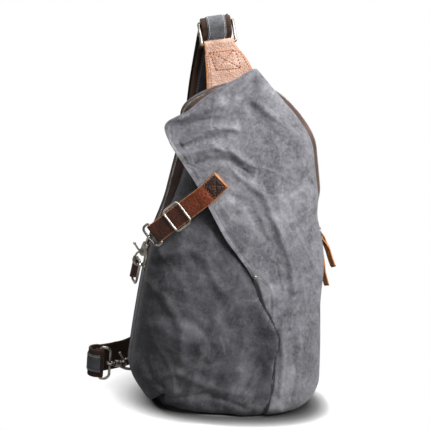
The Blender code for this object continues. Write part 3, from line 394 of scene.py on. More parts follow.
def tube(points, normal, radius, sides=16, closed=True):
    """A round wire along points that lie in the plane with this normal."""
    rings = []
    for point, tangent in zip(points, tangents(points, closed)):
        side = normal.cross(tangent).normalized()
        rings.append([point + (side * math.cos(a) + normal * math.sin(a)) * radius
                      for a in (2 * math.pi * k / sides for k in range(sides))])
    if not closed:
        return loft(rings)
    verts, faces = loft(rings, capped=False)
    last = (len(rings) - 1) * sides
    faces += [(last + j, last + (j + 1) % sides, (j + 1) % sides, j) for j in range(sides)]
    return verts, faces


def rounded_loop(centre, along, up, half_along, half_up, corners):
    out, per_corner = [], 9
    for k, (sx, sy) in enumerate(((1, 1), (-1, 1), (-1, -1), (1, -1))):
        corner = corners[0] if sy > 0 else corners[1]
        for i in range(per_corner + 1):
            a = math.pi / 2 * (k + i / per_corner)
            x = sx * (half_along - corner) + corner * math.cos(a)
            y = sy * (half_up - corner) + corner * math.sin(a)
            out.append(centre + along * x + up * y)
    return out


def lathe(profile, origin, axis, segments=32):
    """Turns (radius, distance along the axis) points."""
    axis = axis.normalized()
    side = axis.orthogonal().normalized()
    other = axis.cross(side)
    rings = [[origin + axis * h + (side * math.cos(a) + other * math.sin(a)) * r
              for a in (2 * math.pi * k / segments for k in range(segments))] for r, h in profile]
    return loft(rings)


def soft_box(centre, x, y, z, size, bevel, segments=3):
    """A box with rounded edges along the unit vectors x, y and z."""
    bm = bmesh.new()
    bmesh.ops.create_cube(bm, size=1.0)
    for v in bm.verts:
        v.co = V([c * s for c, s in zip(v.co, size)])
    bmesh.ops.bevel(bm, geom=bm.edges[:], offset=bevel, segments=segments, profile=0.5,
                    affect="EDGES")
    verts = [centre + x * v.co.x + y * v.co.y + z * v.co.z for v in bm.verts]
    faces = [tuple(v.index for v in f.verts) for f in bm.faces]
    bm.free()
    return verts, faces


def strap_piece(name, stations, thickness, mats, slot, body="bag", nodes=(), columns=10, puff=None,
                wear=None, cut_end=0.0, cut_start=0.0):
    """A strap with rounded edges; mats are (face, edge); puff(u, v) lifts both its faces."""
    profile = [(-1.0, 0.22)] + [(-1.0 + 0.05 + 1.9 * k / columns, 0.5) for k in range(columns + 1)]
    profile += [(1.0, 0.22), (1.0, -0.22)]
    profile += [(1.0 - 0.05 - 1.9 * k / columns, -0.5) for k in range(columns + 1)] + [(-1.0, -0.22)]
    rings, uv, worn = [], [], []
    run = 0.0
    before = stations[0][0]
    for centre, half, normal in stations:
        run += (centre - before).length
        before = centre
        width = half.length
        for a, h in profile:
            lift = puff(a * width, run) if puff else 0.0
            rings.append(centre + half * a + normal * (h * thickness + lift))
            uv.append((a * width, run))
            worn.append(wear(a * width, run, h) if wear else (0.25 if abs(a) > 0.9 else 0.0))
    n = len(profile)
    verts, faces = loft([rings[i:i + n] for i in range(0, len(rings), n)])
    face_mats = []
    edges = {0, columns + 1, columns + 2, columns + 3, n - 2, n - 1}
    for face in faces[:-2]:
        cut = face[0] % n in edges or (cut_end and uv[face[0]][1] < cut_end)
        cut = cut or uv[face[0]][1] > run - cut_start
        face_mats.append(1 if cut and len(mats) > 1 else 0)
    face_mats += [len(mats) - 1] * 2
    return add_piece(name, verts, faces, mats, slot, body, nodes, uv, worn, face_mats, 50)


def stitch_row(points, normals, pitch=0.0034, length=0.0025, radius=0.00032, rise=0.0):
    """Short rounded threads along a line, each dipping into the cloth at its ends."""
    lengths = [0.0]
    for a, b in zip(points, points[1:]):
        lengths.append(lengths[-1] + (b - a).length)
    parts = []
    count = max(int(lengths[-1] / pitch), 1)
    spot = 0
    for k in range(count):
        middle = (k + 0.5) * lengths[-1] / count
        while lengths[spot + 1] < middle:
            spot += 1
        share = (middle - lengths[spot]) / (lengths[spot + 1] - lengths[spot])
        centre = points[spot].lerp(points[spot + 1], share)
        normal = normals[spot].lerp(normals[spot + 1], share).normalized()
        along = (points[spot + 1] - points[spot]).normalized()
        side = normal.cross(along).normalized()
        rings = []
        for t, grow, dip in ((-0.5, 0.45, -1.2), (-0.3, 0.95, 0.2), (0.0, 1.0, 0.6),
                             (0.3, 0.95, 0.2), (0.5, 0.45, -1.2)):
            middle_point = centre + along * (t * length) + normal * (rise + dip * radius)
            rings.append([middle_point + (side * math.cos(a) + normal * math.sin(a)) * radius * grow
                          for a in (2 * math.pi * q / 6 for q in range(6))])
        parts.append(loft(rings))
    return join_parts(parts)


def stitches_on(stations, a, lift, **settings):
    """A row of stitches at share a of the half-width, on the face of a strap."""
    points = [c + h * a + n * lift for c, h, n in stations]
    return stitch_row(points, [n if lift >= 0 else -n for _, _, n in stations], **settings)


# ---- The bag's outline ----------------------------------------------------------------------------

def blend_in(value, start, end):
    share = min(max((value - start) / (end - start), 0.0), 1.0)
    return share * share * (3 - 2 * share)


def side_x(z, inset=0.0):
    return SIDE_CENTRE_X + math.sqrt((SIDE_RADIUS - inset) ** 2 - (z - SIDE_CENTRE_Z) ** 2)


def half_width(z, inset=0.0):
    if z < CORNER_RADIUS * (1 + math.sin(CORNER_ANGLE)):
        drop = min(CORNER_RADIUS - z, CORNER_RADIUS - inset)
        return CORNER_CENTRE_X + math.sqrt((CORNER_RADIUS - inset) ** 2 - drop ** 2)
    if z < CROWN_CENTRE_Z + CROWN_RADIUS * math.sin(CROWN_ANGLE):
        return side_x(z, inset)
    return math.sqrt(max((CROWN_RADIUS - inset) ** 2 - (z - CROWN_CENTRE_Z) ** 2, 0))


def seam_inset(z):
    return ARCH_INSET * blend_in(z, 0.20, 0.30)


def shell_depth(z):
    slope = (BELLY_DEPTH - CROWN_DEPTH) / (CROWN_Z - BELLY_Z)
    depth = BELLY_DEPTH - max(z - BELLY_Z, 0) * slope
    if z < TOE_HEIGHT:
        rise = 1 - max(z, 0) / TOE_HEIGHT
        depth = TOE_DEPTH + (depth - TOE_DEPTH) * math.sqrt(1 - rise * rise)
    return depth


def outline_path(step, inset=0.0, low=None):
    """(x, z, outward normal) along the outline, evenly spaced, from right to left over the arch.

    With low it starts and ends at that height; without it goes right round the foot as well.
    """
    def arc(cx, radius, cz, start, end):
        count = max(int(abs(end - start) * radius / step), 2)
        return [(cx + radius * math.cos(a), cz + radius * math.sin(a), math.cos(a), math.sin(a))
                for a in (start + (end - start) * i / count for i in range(count))]
    right = arc(CORNER_CENTRE_X, CORNER_RADIUS - inset, CORNER_RADIUS, -math.pi / 2, CORNER_ANGLE)
    right += arc(SIDE_CENTRE_X, SIDE_RADIUS - inset, SIDE_CENTRE_Z, CORNER_ANGLE, CROWN_ANGLE)
    right += arc(0, CROWN_RADIUS - inset, CROWN_CENTRE_Z, CROWN_ANGLE, math.pi / 2)
    if low is not None:
        right = [p for p in right if p[1] > low + step * 0.4]
        angle = math.asin((low - SIDE_CENTRE_Z) / (SIDE_RADIUS - inset))
        right.insert(0, (side_x(low, inset), low, math.cos(angle), math.sin(angle)))
    top = (0.0, CROWN_Z - inset, 0.0, 1.0)
    return right + [top] + [(-x, z, -nx, nz) for x, z, nx, nz in right[::-1]]


RIGHT_LEAN, LEFT_LEAN = 0.0078, 0.0085       # sideways lean of the upper half
RIGHT_DRAW, LEFT_DRAW = 0.0066, 0.0080       # how far the foot draws in
SHOULDER_DIP, SHOULDER_Z, SHOULDER_SPAN = 0.0075, 0.378, 0.020


def settled(x, z, left=True):
    """How far the filled bag leans from its pattern at (x, z), in x; its foot draws in."""
    right = blend_in(x, -0.02, 0.08)
    lean = right * RIGHT_LEAN * blend_in(z, 0.246, 0.285) * blend_in(z, 0.385, 0.335)
    lean -= right * RIGHT_DRAW * blend_in(z, 0.200, 0.130)
    if left:
        lean += (1 - right) * LEFT_LEAN * blend_in(z, 0.195, 0.268) * blend_in(z, 0.385, 0.325)
        lean += (1 - right) * LEFT_DRAW * blend_in(z, 0.045, 0.004)
        lean -= (1 - right) * SHOULDER_DIP * math.exp(-((z - SHOULDER_Z) / SHOULDER_SPAN) ** 2)
    return lean


# ---- Cloth surfaces -------------------------------------------------------------------------------

def cloth_noise(x, y, z, scale, octaves=4, seed=0.0):
    return noise.fractal(V((x * scale + seed, y * scale, z * scale)), 1.0, 2.0, octaves)


def ridge(value, width):
    return max(1 - abs(value) / width, 0.0) ** 2


# Long soft folds and valleys of the front: ((x, z) points), height, half-width
DRAPES = (
    (((-0.103, 0.369), (-0.079, 0.372), (-0.058, 0.381), (-0.042, 0.390)), 0.0024, 0.0060),
    (((-0.096, 0.339), (-0.078, 0.355), (-0.060, 0.366), (-0.031, 0.368),
      (-0.020, 0.376)), -0.0034, 0.0042),
    (((-0.082, 0.338), (-0.059, 0.356), (-0.035, 0.362), (-0.018, 0.360)), 0.0026, 0.0038),
    (((-0.088, 0.333), (-0.059, 0.343), (-0.034, 0.349)), -0.0028, 0.0036),
    (((-0.083, 0.321), (-0.069, 0.330), (-0.045, 0.337), (-0.020, 0.332),
      (0.001, 0.317)), 0.0024, 0.0045),
    (((-0.075, 0.311), (-0.049, 0.321), (-0.024, 0.321), (-0.003, 0.306)), -0.0026, 0.0040),
    (((-0.045, 0.304), (-0.023, 0.308), (-0.004, 0.300), (0.016, 0.285), (0.036, 0.251),
      (0.058, 0.206), (0.070, 0.165)), 0.0018, 0.0045),
    (((-0.026, 0.283), (-0.003, 0.273), (0.014, 0.250), (0.033, 0.210),
      (0.049, 0.167)), -0.0014, 0.0050),
    (((0.006, 0.393), (0.030, 0.376), (0.055, 0.357)), 0.0012, 0.0040),
    (((-0.014, 0.401), (0.008, 0.376), (0.034, 0.353), (0.060, 0.320)), -0.0010, 0.0055),
    (((0.059, 0.332), (0.072, 0.270), (0.081, 0.194)), 0.0010, 0.0050),
    (((0.071, 0.155), (0.058, 0.115), (0.066, 0.073), (0.067, 0.033)), 0.0014, 0.0045),
    (((0.077, 0.103), (0.081, 0.052), (0.076, 0.020)), -0.0012, 0.0050),
    (((0.085, 0.116), (0.091, 0.063), (0.087, 0.026)), 0.0010, 0.0040),
    (((-0.031, 0.250), (-0.010, 0.216), (0.011, 0.173)), -0.0009, 0.0050),
    (((-0.096, 0.196), (-0.067, 0.210), (-0.046, 0.199), (-0.023, 0.161)), 0.0014, 0.0055),
    (((-0.113, 0.160), (-0.093, 0.148), (-0.069, 0.110), (-0.069, 0.071)), 0.0012, 0.0060),
    (((-0.107, 0.119), (-0.076, 0.128), (-0.041, 0.111)), -0.0010, 0.0060),
    (((0.001, 0.144), (0.008, 0.105), (0.003, 0.063)), 0.0012, 0.0050),
    (((-0.022, 0.151), (-0.011, 0.099), (-0.024, 0.046), (-0.033, 0.014)), -0.0012, 0.0060),
    (((-0.045, 0.087), (-0.052, 0.048), (-0.062, 0.015)), 0.0012, 0.0050),
    (((-0.120, 0.082), (-0.105, 0.049), (-0.091, 0.033)), -0.0014, 0.0045),
    (((-0.109, 0.038), (-0.073, 0.055), (-0.022, 0.038), (0.023, 0.032)), 0.0014, 0.0050),
    (((-0.084, 0.020), (-0.034, 0.030), (0.012, 0.015)), -0.0016, 0.0040),
)
FAN = V((-0.150, 0.0, 0.440))        # the drapes of the front fan out from this point


def line_distance(x, z, line):
    best = 1.0
    for (x0, z0), (x1, z1) in zip(line, line[1:]):
        dx, dz = x1 - x0, z1 - z0
        share = min(max(((x - x0) * dx + (z - z0) * dz) / (dx * dx + dz * dz), 0.0), 1.0)
        best = min(best, math.hypot(x - x0 - dx * share, z - z0 - dz * share))
    return best


def folds(x, z, seed, size=1.0):
    """(height, wear) of the cloth's own creases at a point of the front."""
    dx, dz = x - FAN.x, FAN.z - z
    far, turn = math.hypot(dx, dz), math.atan2(dz, dx)
    warp = noise.noise(V((x * 11 + seed, 3.1, z * 11)))
    rays = noise.noise(V((turn * 9.0 + warp * 0.9, far * 4.2, seed)))
    small = noise.noise(V((turn * 21.0 + warp * 1.8, far * 9.0, seed + 5)))
    bent = V((x * 26 + seed, 0.0, z * 20)) + V((warp, 0, warp)) * 0.9
    near = noise.voronoi(bent)[0]
    crumple = min(near[1] - near[0], 0.5)
    clear = blend_in(far, 0.06, 0.22)
    crest, crest_small = ridge(rays, 0.24) * clear, ridge(small, 0.20) * clear
    height = size * (0.0008 * crest + 0.0002 * crest_small - 0.0005 * (0.5 - crumple)
                     + 0.0030 * cloth_noise(x, 0, z, 13.0, 3, seed)
                     + 0.0009 * cloth_noise(x, 0, z, 48.0, 3, seed))
    for line, lift, half in DRAPES:
        height += size * 1.7 * lift * math.exp(-(line_distance(x, z, line) / half) ** 2)
    broken = blend_in(noise.noise(V((x * 19, z * 19, seed + 9))), -0.15, 0.45)
    return height, broken * (0.6 * clear * ridge(rays, 0.06) + 0.3 * clear * ridge(small, 0.05)
                             + 0.7 * max(0.0, 1 - crumple / 0.05))


def grid_piece(name, grid, outward, thickness, mats, slot, nodes=(), wear=None, left=True):
    """A closed cloth of this thickness whose outer face is the grid of points."""
    points = np.array([[tuple(p) for p in row] for row in grid])
    points[:, :, 0] += [[settled(x, z, left) for x, _, z in row] for row in points]
    rows, columns = points.shape[:2]
    normals = np.cross(np.gradient(points, axis=1), np.gradient(points, axis=0))
    normals /= np.maximum(np.linalg.norm(normals, axis=2, keepdims=True), 1e-12)
    if (normals[rows // 2, columns // 2] @ np.array(outward)) < 0:
        normals = -normals
    inner = points - normals * thickness
    across = np.linalg.norm(np.diff(points, axis=1), axis=2)
    u = np.concatenate([np.zeros((rows, 1)), np.cumsum(across, axis=1)], axis=1)
    u -= u[:, columns // 2][:, None]
    along = np.linalg.norm(np.diff(points[:, columns // 2], axis=0), axis=1)
    v = np.repeat(np.concatenate([[0], np.cumsum(along)])[:, None], columns, axis=1)
    verts = np.concatenate([points.reshape(-1, 3), inner.reshape(-1, 3)])
    uv = np.tile(np.stack([u.ravel(), v.ravel()], axis=1), (2, 1))
    total = rows * columns
    i, j = np.meshgrid(np.arange(rows - 1), np.arange(columns - 1), indexing="ij")
    a = (i * columns + j).ravel()
    front = np.stack([a, a + 1, a + columns + 1, a + columns], axis=1)
    back = front[:, ::-1] + total
    rim = np.concatenate([np.arange(columns), np.arange(1, rows) * columns + columns - 1,
                          (rows - 1) * columns + np.arange(columns - 2, -1, -1),
                          np.arange(rows - 2, 0, -1) * columns])
    after = np.roll(rim, -1)
    sides = np.stack([rim, rim + total, after + total, after], axis=1)
    faces = np.concatenate([front, back, sides]).tolist()
    worn = None if wear is None else np.tile(np.array(wear, dtype=float).ravel(), 2)
    return add_piece(name, verts.tolist(), faces, mats, slot, "bag", nodes, uv,
                     worn, None, 60)


def displaced(grid, outward, heights):
    """The grid moved along its own normals."""
    points = np.array([[tuple(p) for p in row] for row in grid])
    normals = np.cross(np.gradient(points, axis=1), np.gradient(points, axis=0))
    normals /= np.maximum(np.linalg.norm(normals, axis=2, keepdims=True), 1e-12)
    if (normals[len(points) // 2, points.shape[1] // 2] @ np.array(outward)) < 0:
        normals = -normals
    return points + normals * np.array(heights)[:, :, None]


# ---- The flap's outline ---------------------------------------------------------------------------

FLAP_TOP_CORNER, FLAP_LEFT_CORNER = (-0.003, 0.4355), (-0.1172, 0.3620)
FLAP_EDGE = ((0.0460, 0.0024), (0.0520, 0.045), (0.0500, 0.080), (0.0535, 0.103), (0.0455, 0.124),
             (0.0275, 0.151), (0.0125, 0.182), (-0.0070, 0.207), (-0.0255, 0.229),
             (-0.0515, 0.271), (-0.0655, 0.293), (-0.0930, 0.3280), (-0.1010, 0.3390),
             (-0.1100, 0.3515), (-0.1500, 0.4100), (-0.1700, 0.4400))
EDGE_CURVE = smooth_path([(x, 0, z) for x, z in FLAP_EDGE], 8)
EDGE_X = [p.x for p in EDGE_CURVE]
EDGE_Z = [p.z for p in EDGE_CURVE]
FLAP_FREE_LOW = FLAP_EDGE[6]
FLAP_STANDOFF, FLAP_LEAVE_Z, FLAP_ROUND, FLAP_DIP = 0.009, 0.384, 0.024, 0.0075


def edge_x(z):
    """The diagonal edge of the flap, or below it the ridge where the two canvases meet."""
    return float(np.interp(z, EDGE_Z, EDGE_X))


def flap_left_x(z):
    """The diagonal edge and the sloping top edge, with a rounded corner between them."""
    slope = (FLAP_TOP_CORNER[0] - FLAP_LEFT_CORNER[0]) / (FLAP_TOP_CORNER[1] - FLAP_LEFT_CORNER[1])
    top = FLAP_LEFT_CORNER[0] + (z - FLAP_LEFT_CORNER[1]) * slope
    top += FLAP_DIP * math.exp(-((z - 0.379) / 0.013) ** 2)
    low = edge_x(z)
    return 0.5 * (top + low + math.sqrt((top - low) ** 2 + FLAP_ROUND ** 2))


def flap_right_x(z):
    if z <= FLAP_LEAVE_Z:
        return half_width(z) - seam_inset(z)
    share = (z - FLAP_LEAVE_Z) / (FLAP_TOP_CORNER[1] - FLAP_LEAVE_Z)
    leave_x = half_width(FLAP_LEAVE_Z) - ARCH_INSET
    return leave_x + share * (FLAP_TOP_CORNER[0] + 0.003 - leave_x)


def flap_gap(x, z):
    free = blend_in(z, FLAP_FREE_LOW[1], FLAP_FREE_LOW[1] + 0.10)
    from_edge = (x - flap_left_x(z)) / 0.13
    return FLAP_STANDOFF * free * max(1 - from_edge, 0) ** 1.5


def flap_y(x, z, clear):
    half = max(flap_right_x(z), 0.02) + clear if x > 0 else side_x(z) + 0.050
    share = min(abs(x) / half, 1)
    depth = shell_depth(z) + clear + flap_gap(x, z)
    return SEAM_Y - depth * (1 - share ** SHELL_POWER) ** (1 / SHELL_POWER)


# ---- Body -----------------------------------------------------------------------------------------

FOOT_LIFT, RIDGE = 0.0024, 0.0105


def front_height(x, z):
    """(height, wear) of the front panel: its creases, the foot's puckers and the diagonal ridge;
    negative wear beside the ridge is painted shade.
    """
    height, wear = folds(x, z, 2.0)
    foot = math.exp(-max(z, 0) / 0.026)
    pucker = noise.noise(V((x * 30, 0, z * 9)))
    height += foot * (0.0034 * pucker + 0.0012 * cloth_noise(x, 0, z, 60, 2))
    wear += 0.5 * foot * ridge(pucker, 0.12)
    apart = edge_x(z) + 0.0010 - x
    low = blend_in(z, 0.168, 0.116) * (0.15 + 0.85 * blend_in(z, 0.010, 0.095))
    swell = math.exp(-(apart / 0.020) ** 2) if apart > 0 else math.exp(-(apart / 0.0016) ** 2)
    height += RIDGE * low * swell
    wear += 0.5 * low * math.exp(-((apart - 0.0016) / 0.0018) ** 2)
    # painted shade: negative wear darkens the canvas in the gap beside the ridge, under the flap's
    # edge
    if apart < 0.0004:
        wear -= 1.6 * blend_in(z, 0.172, 0.150) * math.exp(-(apart / 0.010) ** 2)
    covered = blend_in(x - edge_x(z), 0.002, 0.007)
    height += (min(height, -0.0006) - height) * covered
    lip = math.exp(-((x + 0.1060) / 0.0050) ** 2 - ((z - 0.013) / 0.012) ** 2)
    return height - 0.0130 * foot_tuck(x, z) + 0.0018 * lip, wear


def foot_tuck(x, z):
    """The deep pleat beside the left corner of the foot."""
    return math.exp(-((x + 0.0960 - (z - 0.012) * 0.5) / 0.0036) ** 2 - ((z - 0.010) / 0.012) ** 2)


def shell_grid(inset, low_z, columns, levels, crown_levels, height_of=None):
    top = CROWN_Z - inset - ARCH_INSET - 0.0005
    heights = [low_z + (CROWN_CENTRE_Z - low_z) * (i / levels) for i in range(levels)]
    heights += [CROWN_CENTRE_Z + (top - CROWN_CENTRE_Z) * math.sin(math.pi / 2 * i / crown_levels)
                for i in range(crown_levels + 1)]
    grid, lifts, wears = [], [], []
    for z in heights:
        over = max(z - CROWN_CENTRE_Z, 0) / (CROWN_Z - CROWN_CENTRE_Z)
        depth = shell_depth(z) * (0.35 + 0.65 * math.sqrt(max(1 - over * over, 0))) - inset
        half = max(half_width(z, inset + seam_inset(z)), 0.006)
        row, lift, worn = [], [], []
        for j in range(columns + 1):
            a = math.pi * j / columns
            c, s = math.cos(a), max(math.sin(a), 0.0)
            x = -half * math.copysign(abs(c) ** (2 / SHELL_POWER), c)
            row.append((x, SEAM_Y - depth * s ** (2 / SHELL_POWER), z))
            high, wear = height_of(x, z) if height_of else (0.0, 0.0)
            hold = min(s * 3.5, 1) * blend_in(z, top, top - 0.02) * blend_in(z, -0.004, 0.006)
            lift.append(high * hold)
            worn.append(wear)
        grid.append(row)
        lifts.append(lift)
        wears.append(worn)
    return displaced(grid, (0, -1, 0), lifts), wears


def band_grid(inset, y_values, step, low, bulge=0.0, slanted=False, seed=0.0, wrinkle=0.0):
    grid, wears = [], []
    for x, z, nx, nz in outline_path(step, inset, low):
        row, worn = [], []
        for k, y in enumerate(y_values):
            share = k / (len(y_values) - 1)
            out = bulge * math.sin(math.pi * share)
            if slanted:
                out -= seam_inset(z) * (1 - share)
            crease = cloth_noise(x, y, z, 34.0, 3, seed)
            out += wrinkle * crease * math.sin(math.pi * share)
            row.append((x + nx * out, y, z + nz * out))
            worn.append(max(crease, 0) * 0.5 + (0.35 if k in (0, len(y_values) - 1) else 0))
        grid.append(row)
        wears.append(worn)
    return np.array(grid), wears


def spread(start, end, count):
    return [start + (end - start) * i / (count - 1) for i in range(count)]


CLOTH_MASS, CLOTH_STIFFNESS = 0.25, 18.0     # of the cloth simulation


def settle(piece, pinned, pressure, frames, most):
    """Runs the cloth simulation on a piece, then caps how far each point has moved."""
    mesh = piece.data
    before = np.empty(len(mesh.vertices) * 3)
    mesh.vertices.foreach_get("co", before)
    group = piece.vertex_groups.new(name="pin")
    for index, weight in pinned.items():
        group.add([index], weight, "REPLACE")
    cloth = piece.modifiers.new("settle", "CLOTH")
    cloth.settings.vertex_group_mass = "pin"
    cloth.settings.mass = CLOTH_MASS
    cloth.settings.tension_stiffness = CLOTH_STIFFNESS
    cloth.settings.compression_stiffness = CLOTH_STIFFNESS
    cloth.settings.bending_stiffness = 0.6
    cloth.settings.use_pressure = True
    cloth.settings.uniform_pressure_force = pressure
    cloth.settings.effector_weights.gravity = 0
    cloth.collision_settings.use_collision = False
    scene = bpy.context.scene
    for number in range(1, frames + 1):
        scene.frame_set(number)
    shown = piece.evaluated_get(bpy.context.evaluated_depsgraph_get()).to_mesh()
    after = np.empty(len(mesh.vertices) * 3)
    shown.vertices.foreach_get("co", after)
    scene.frame_set(1)
    piece.modifiers.remove(cloth)
    moved = (after - before).reshape(-1, 3)
    length = np.linalg.norm(moved, axis=1, keepdims=True)
    moved *= most * np.tanh(length / most) / np.maximum(length, 1e-9)
    mesh.vertices.foreach_set("co", before + moved.ravel())
    mesh.update()


def build_body(mats):
    canvas, lining = mats["canvas"], mats["lining"]
    grid, wear = shell_grid(0.0, FOOT_LIFT, 190, 120, 34, front_height)
    # the front shell wears the darker canvas copy: painted shade on its left panel
    grid_piece("front_shell", grid, (0, -1, 0), CLOTH, mats["deep"], "waxed_canvas",
               nodes="front_panel", wear=wear)
    grid, wear = shell_grid(0.0085, 0.0172, 90, 60, 14,
                            lambda x, z: (-0.0150 * foot_tuck(x, z), 0.0))
    grid_piece("front_shell_lining", grid, (0, -1, 0), 0.0007, lining, "lining_cotton",
               nodes="front_lining", wear=wear)
    for side, sign in (("left", -1), ("right", 1)):
        ys = spread(SEAM_Y + GAP, BAND_BACK_Y, 13)
        grid, wear = band_grid(0.0002, ys, 0.0035, None, 0.0008, seed=sign * 4.0, wrinkle=0.0009)
        keep = [i for i, row in enumerate(grid)
                if row[0][2] < ZIP_START_Z - 0.001 and row[0][0] * sign > CORNER_CENTRE_X - 0.001]
        grid_piece(f"side_band_{side}", grid[keep], (sign, 0, 0), CLOTH, canvas, "waxed_canvas",
                   nodes=f"side_gusset_{side}", wear=[wear[i] for i in keep])
    build_foot(mats)
    build_back(mats)


def foot_outline(inset):
    count = 64
    half = CORNER_CENTRE_X - inset - GAP
    depth = TOE_DEPTH - inset
    points = []
    for j in range(count + 1):
        a = math.pi * j / count
        c, s = math.cos(a), max(math.sin(a), 0)
        x = -half * math.copysign(abs(c) ** (2 / SHELL_POWER), c)
        y = SEAM_Y - depth * s ** (2 / SHELL_POWER)
        points.append((x, min(y + 0.0180 * foot_tuck(x, 0.004), SEAM_Y)))
    return points


def build_foot(mats):
    rows = 24
    for name, inset, low, thick, mat, slot, node in (
            ("foot_panel", 0.0, 0.0, CLOTH, mats["canvas"], "waxed_canvas", "bottom_panel"),
            ("foot_board", 0.010, 0.0035, 0.0020, mats["board"], "base_board", "base_board")):
        front = foot_outline(inset)
        grid = []
        for i in range(rows + 1):
            share = i / rows
            row = []
            for x, y in front:
                back = BAND_BACK_Y - inset
                deep = y + (back - y) * share
                lift = 0.0 if slot == "base_board" else 0.0004 * abs(cloth_noise(x, deep, 0, 40, 3))
                row.append((x, deep, low + thick + lift))
            grid.append(row)
        piece = grid_piece(name, grid, (0, 0, 1), thick, mat, slot, nodes=node)
        flat = piece.data.vertices
        for vertex in flat:
            vertex.co.z = max(vertex.co.z, low)
        piece.data.update()


def build_back(mats):
    """The padded back: a canvas cover over foam, sewn along the outline and down two channels."""
    def face(inset, y, crown, columns=56, rows=84):
        grid = []
        top, low = CROWN_Z - inset - 0.0002, inset * 0.5 + 0.0002
        for i in range(rows + 1):
            share = i / rows
            z = low + (top - low) * (0.5 - 0.5 * math.cos(math.pi * share))
            level = min(max(z, inset + 0.0001), CROWN_Z - inset - 0.0001)
            half = max(half_width(level, inset), 0.004)
            row = []
            for j in range(columns + 1):
                a = 2 * j / columns - 1
                out = crown * (1 - a ** 4) * math.sin(math.pi * share) ** 0.5
                row.append((half * a, y + out, z))
            grid.append(row)
        return np.array(grid), rows + 1, columns + 1
    grid, rows, columns = face(0.0, BAND_BACK_Y + GAP + BACK_THICKNESS, 0.0)
    cover = grid_piece("back_cover", grid, (0, 1, 0), BACK_THICKNESS, mats["canvas"], "waxed_canvas",
                       nodes="back_panel", wear=np.zeros((rows, columns)))
    pins = {}
    total = rows * columns
    for i in range(rows):
        for j in range(columns):
            rim = i in (0, rows - 1) or j in (0, columns - 1)
            if rim:
                pins[i * columns + j] = 1.0
            pins[total + i * columns + j] = 1.0
    settle(cover, pins, 3.0, 20, 0.0045)
    crease_cover(cover)
    grid, *_ = face(0.007, BAND_BACK_Y - GAP, 0.0, 40, 60)
    pad = grid_piece("back_foam", grid, (0, 1, 0), 0.0035, mats["foam"], "foam",
                     nodes="back_foam_pad")
    grid, *_ = face(0.007, 0.0379, 0.0, 40, 60)
    grid_piece("back_inner_cloth", grid, (0, 1, 0), 0.0007, mats["lining"], "lining_cotton",
               nodes="back_lining")
    build_slip_pocket(mats)


CHANNEL_X, CHANNEL_WIDTH = 0.045, 0.0022     # the two sewn channels of the back cover


def crease_cover(cover):
    """Wear, soft creases and two sewn channels on the back cover."""
    mesh = cover.data
    wear = mesh.attributes["wear"].data
    for vertex in mesh.vertices:
        x, y, z = vertex.co
        height, worn = folds(x, z, 31.0, 0.5)
        room = min(max((half_width(min(z, CROWN_Z - 0.001)) - abs(x)) / 0.02, 0), 1)
        if y > BAND_BACK_Y + 0.001:
            channel = math.exp(-((abs(x) - CHANNEL_X) / CHANNEL_WIDTH) ** 2)
            channel *= blend_in(z, 0.03, 0.05) * blend_in(z, 0.36, 0.34)
            vertex.co.y += height * room - 0.0016 * channel * room
        wear[vertex.index].value = min(worn, 1.0)
    mesh.update()


def build_slip_pocket(mats):
    width, top, foot = 0.130, 0.260, 0.150
    rows = []
    for i in range(30):
        z = foot + (top - foot) * i / 29
        sag = 0.0004 * math.sin(math.pi * i / 29)
        rows.append([(width * (j / 24 - 0.5), 0.0350 - sag * math.sin(math.pi * j / 24), z)
                     for j in range(25)])
    grid_piece("slip_pocket", np.array(rows), (0, -1, 0), 0.0008, mats["lining"], "lining_cotton",
               nodes="inner_pocket")


# ---- Flap -----------------------------------------------------------------------------------------

FLAP_CLEAR, FLAP_THICK = 0.0019, 0.0014


def flap_height(x, z):
    height, wear = folds(x, z, 7.0)
    from_edge = x - flap_left_x(z)
    free = blend_in(z, FLAP_FREE_LOW[1] - 0.02, FLAP_FREE_LOW[1] + 0.02)
    hem = math.exp(-((from_edge - 0.0062) / 0.0012) ** 2)
    roll = math.exp(-(from_edge / 0.0035) ** 2)
    height = height * blend_in(from_edge, -0.002, 0.012) + free * (0.0003 * roll - 0.0005 * hem)
    wear += free * (0.25 * math.exp(-(from_edge / 0.0016) ** 2) + 0.1 * hem)
    foot = math.exp(-max(z, 0) / 0.028)
    pucker = noise.noise(V((x * 42 + 5, 0, z * 9)))
    height += foot * 0.0018 * pucker
    sewn = 1 - free
    height -= sewn * 0.0016 * math.exp(-(from_edge / 0.007) ** 2)
    # painted shade: negative wear darkens the flap along its sewn edge, in the gap right of the
    # ridge
    wear -= 1.5 * sewn * math.exp(-(from_edge / 0.0052) ** 4)
    under = line_distance(x, z, ((SIDE_START.x, SIDE_START.z), (SIDE_KNEE.x, SIDE_KNEE.z)))
    pressed = blend_in(under, 0.024, 0.014)
    height = height * (1 - pressed) - 0.0006 * pressed
    return max(height, -0.0016), wear


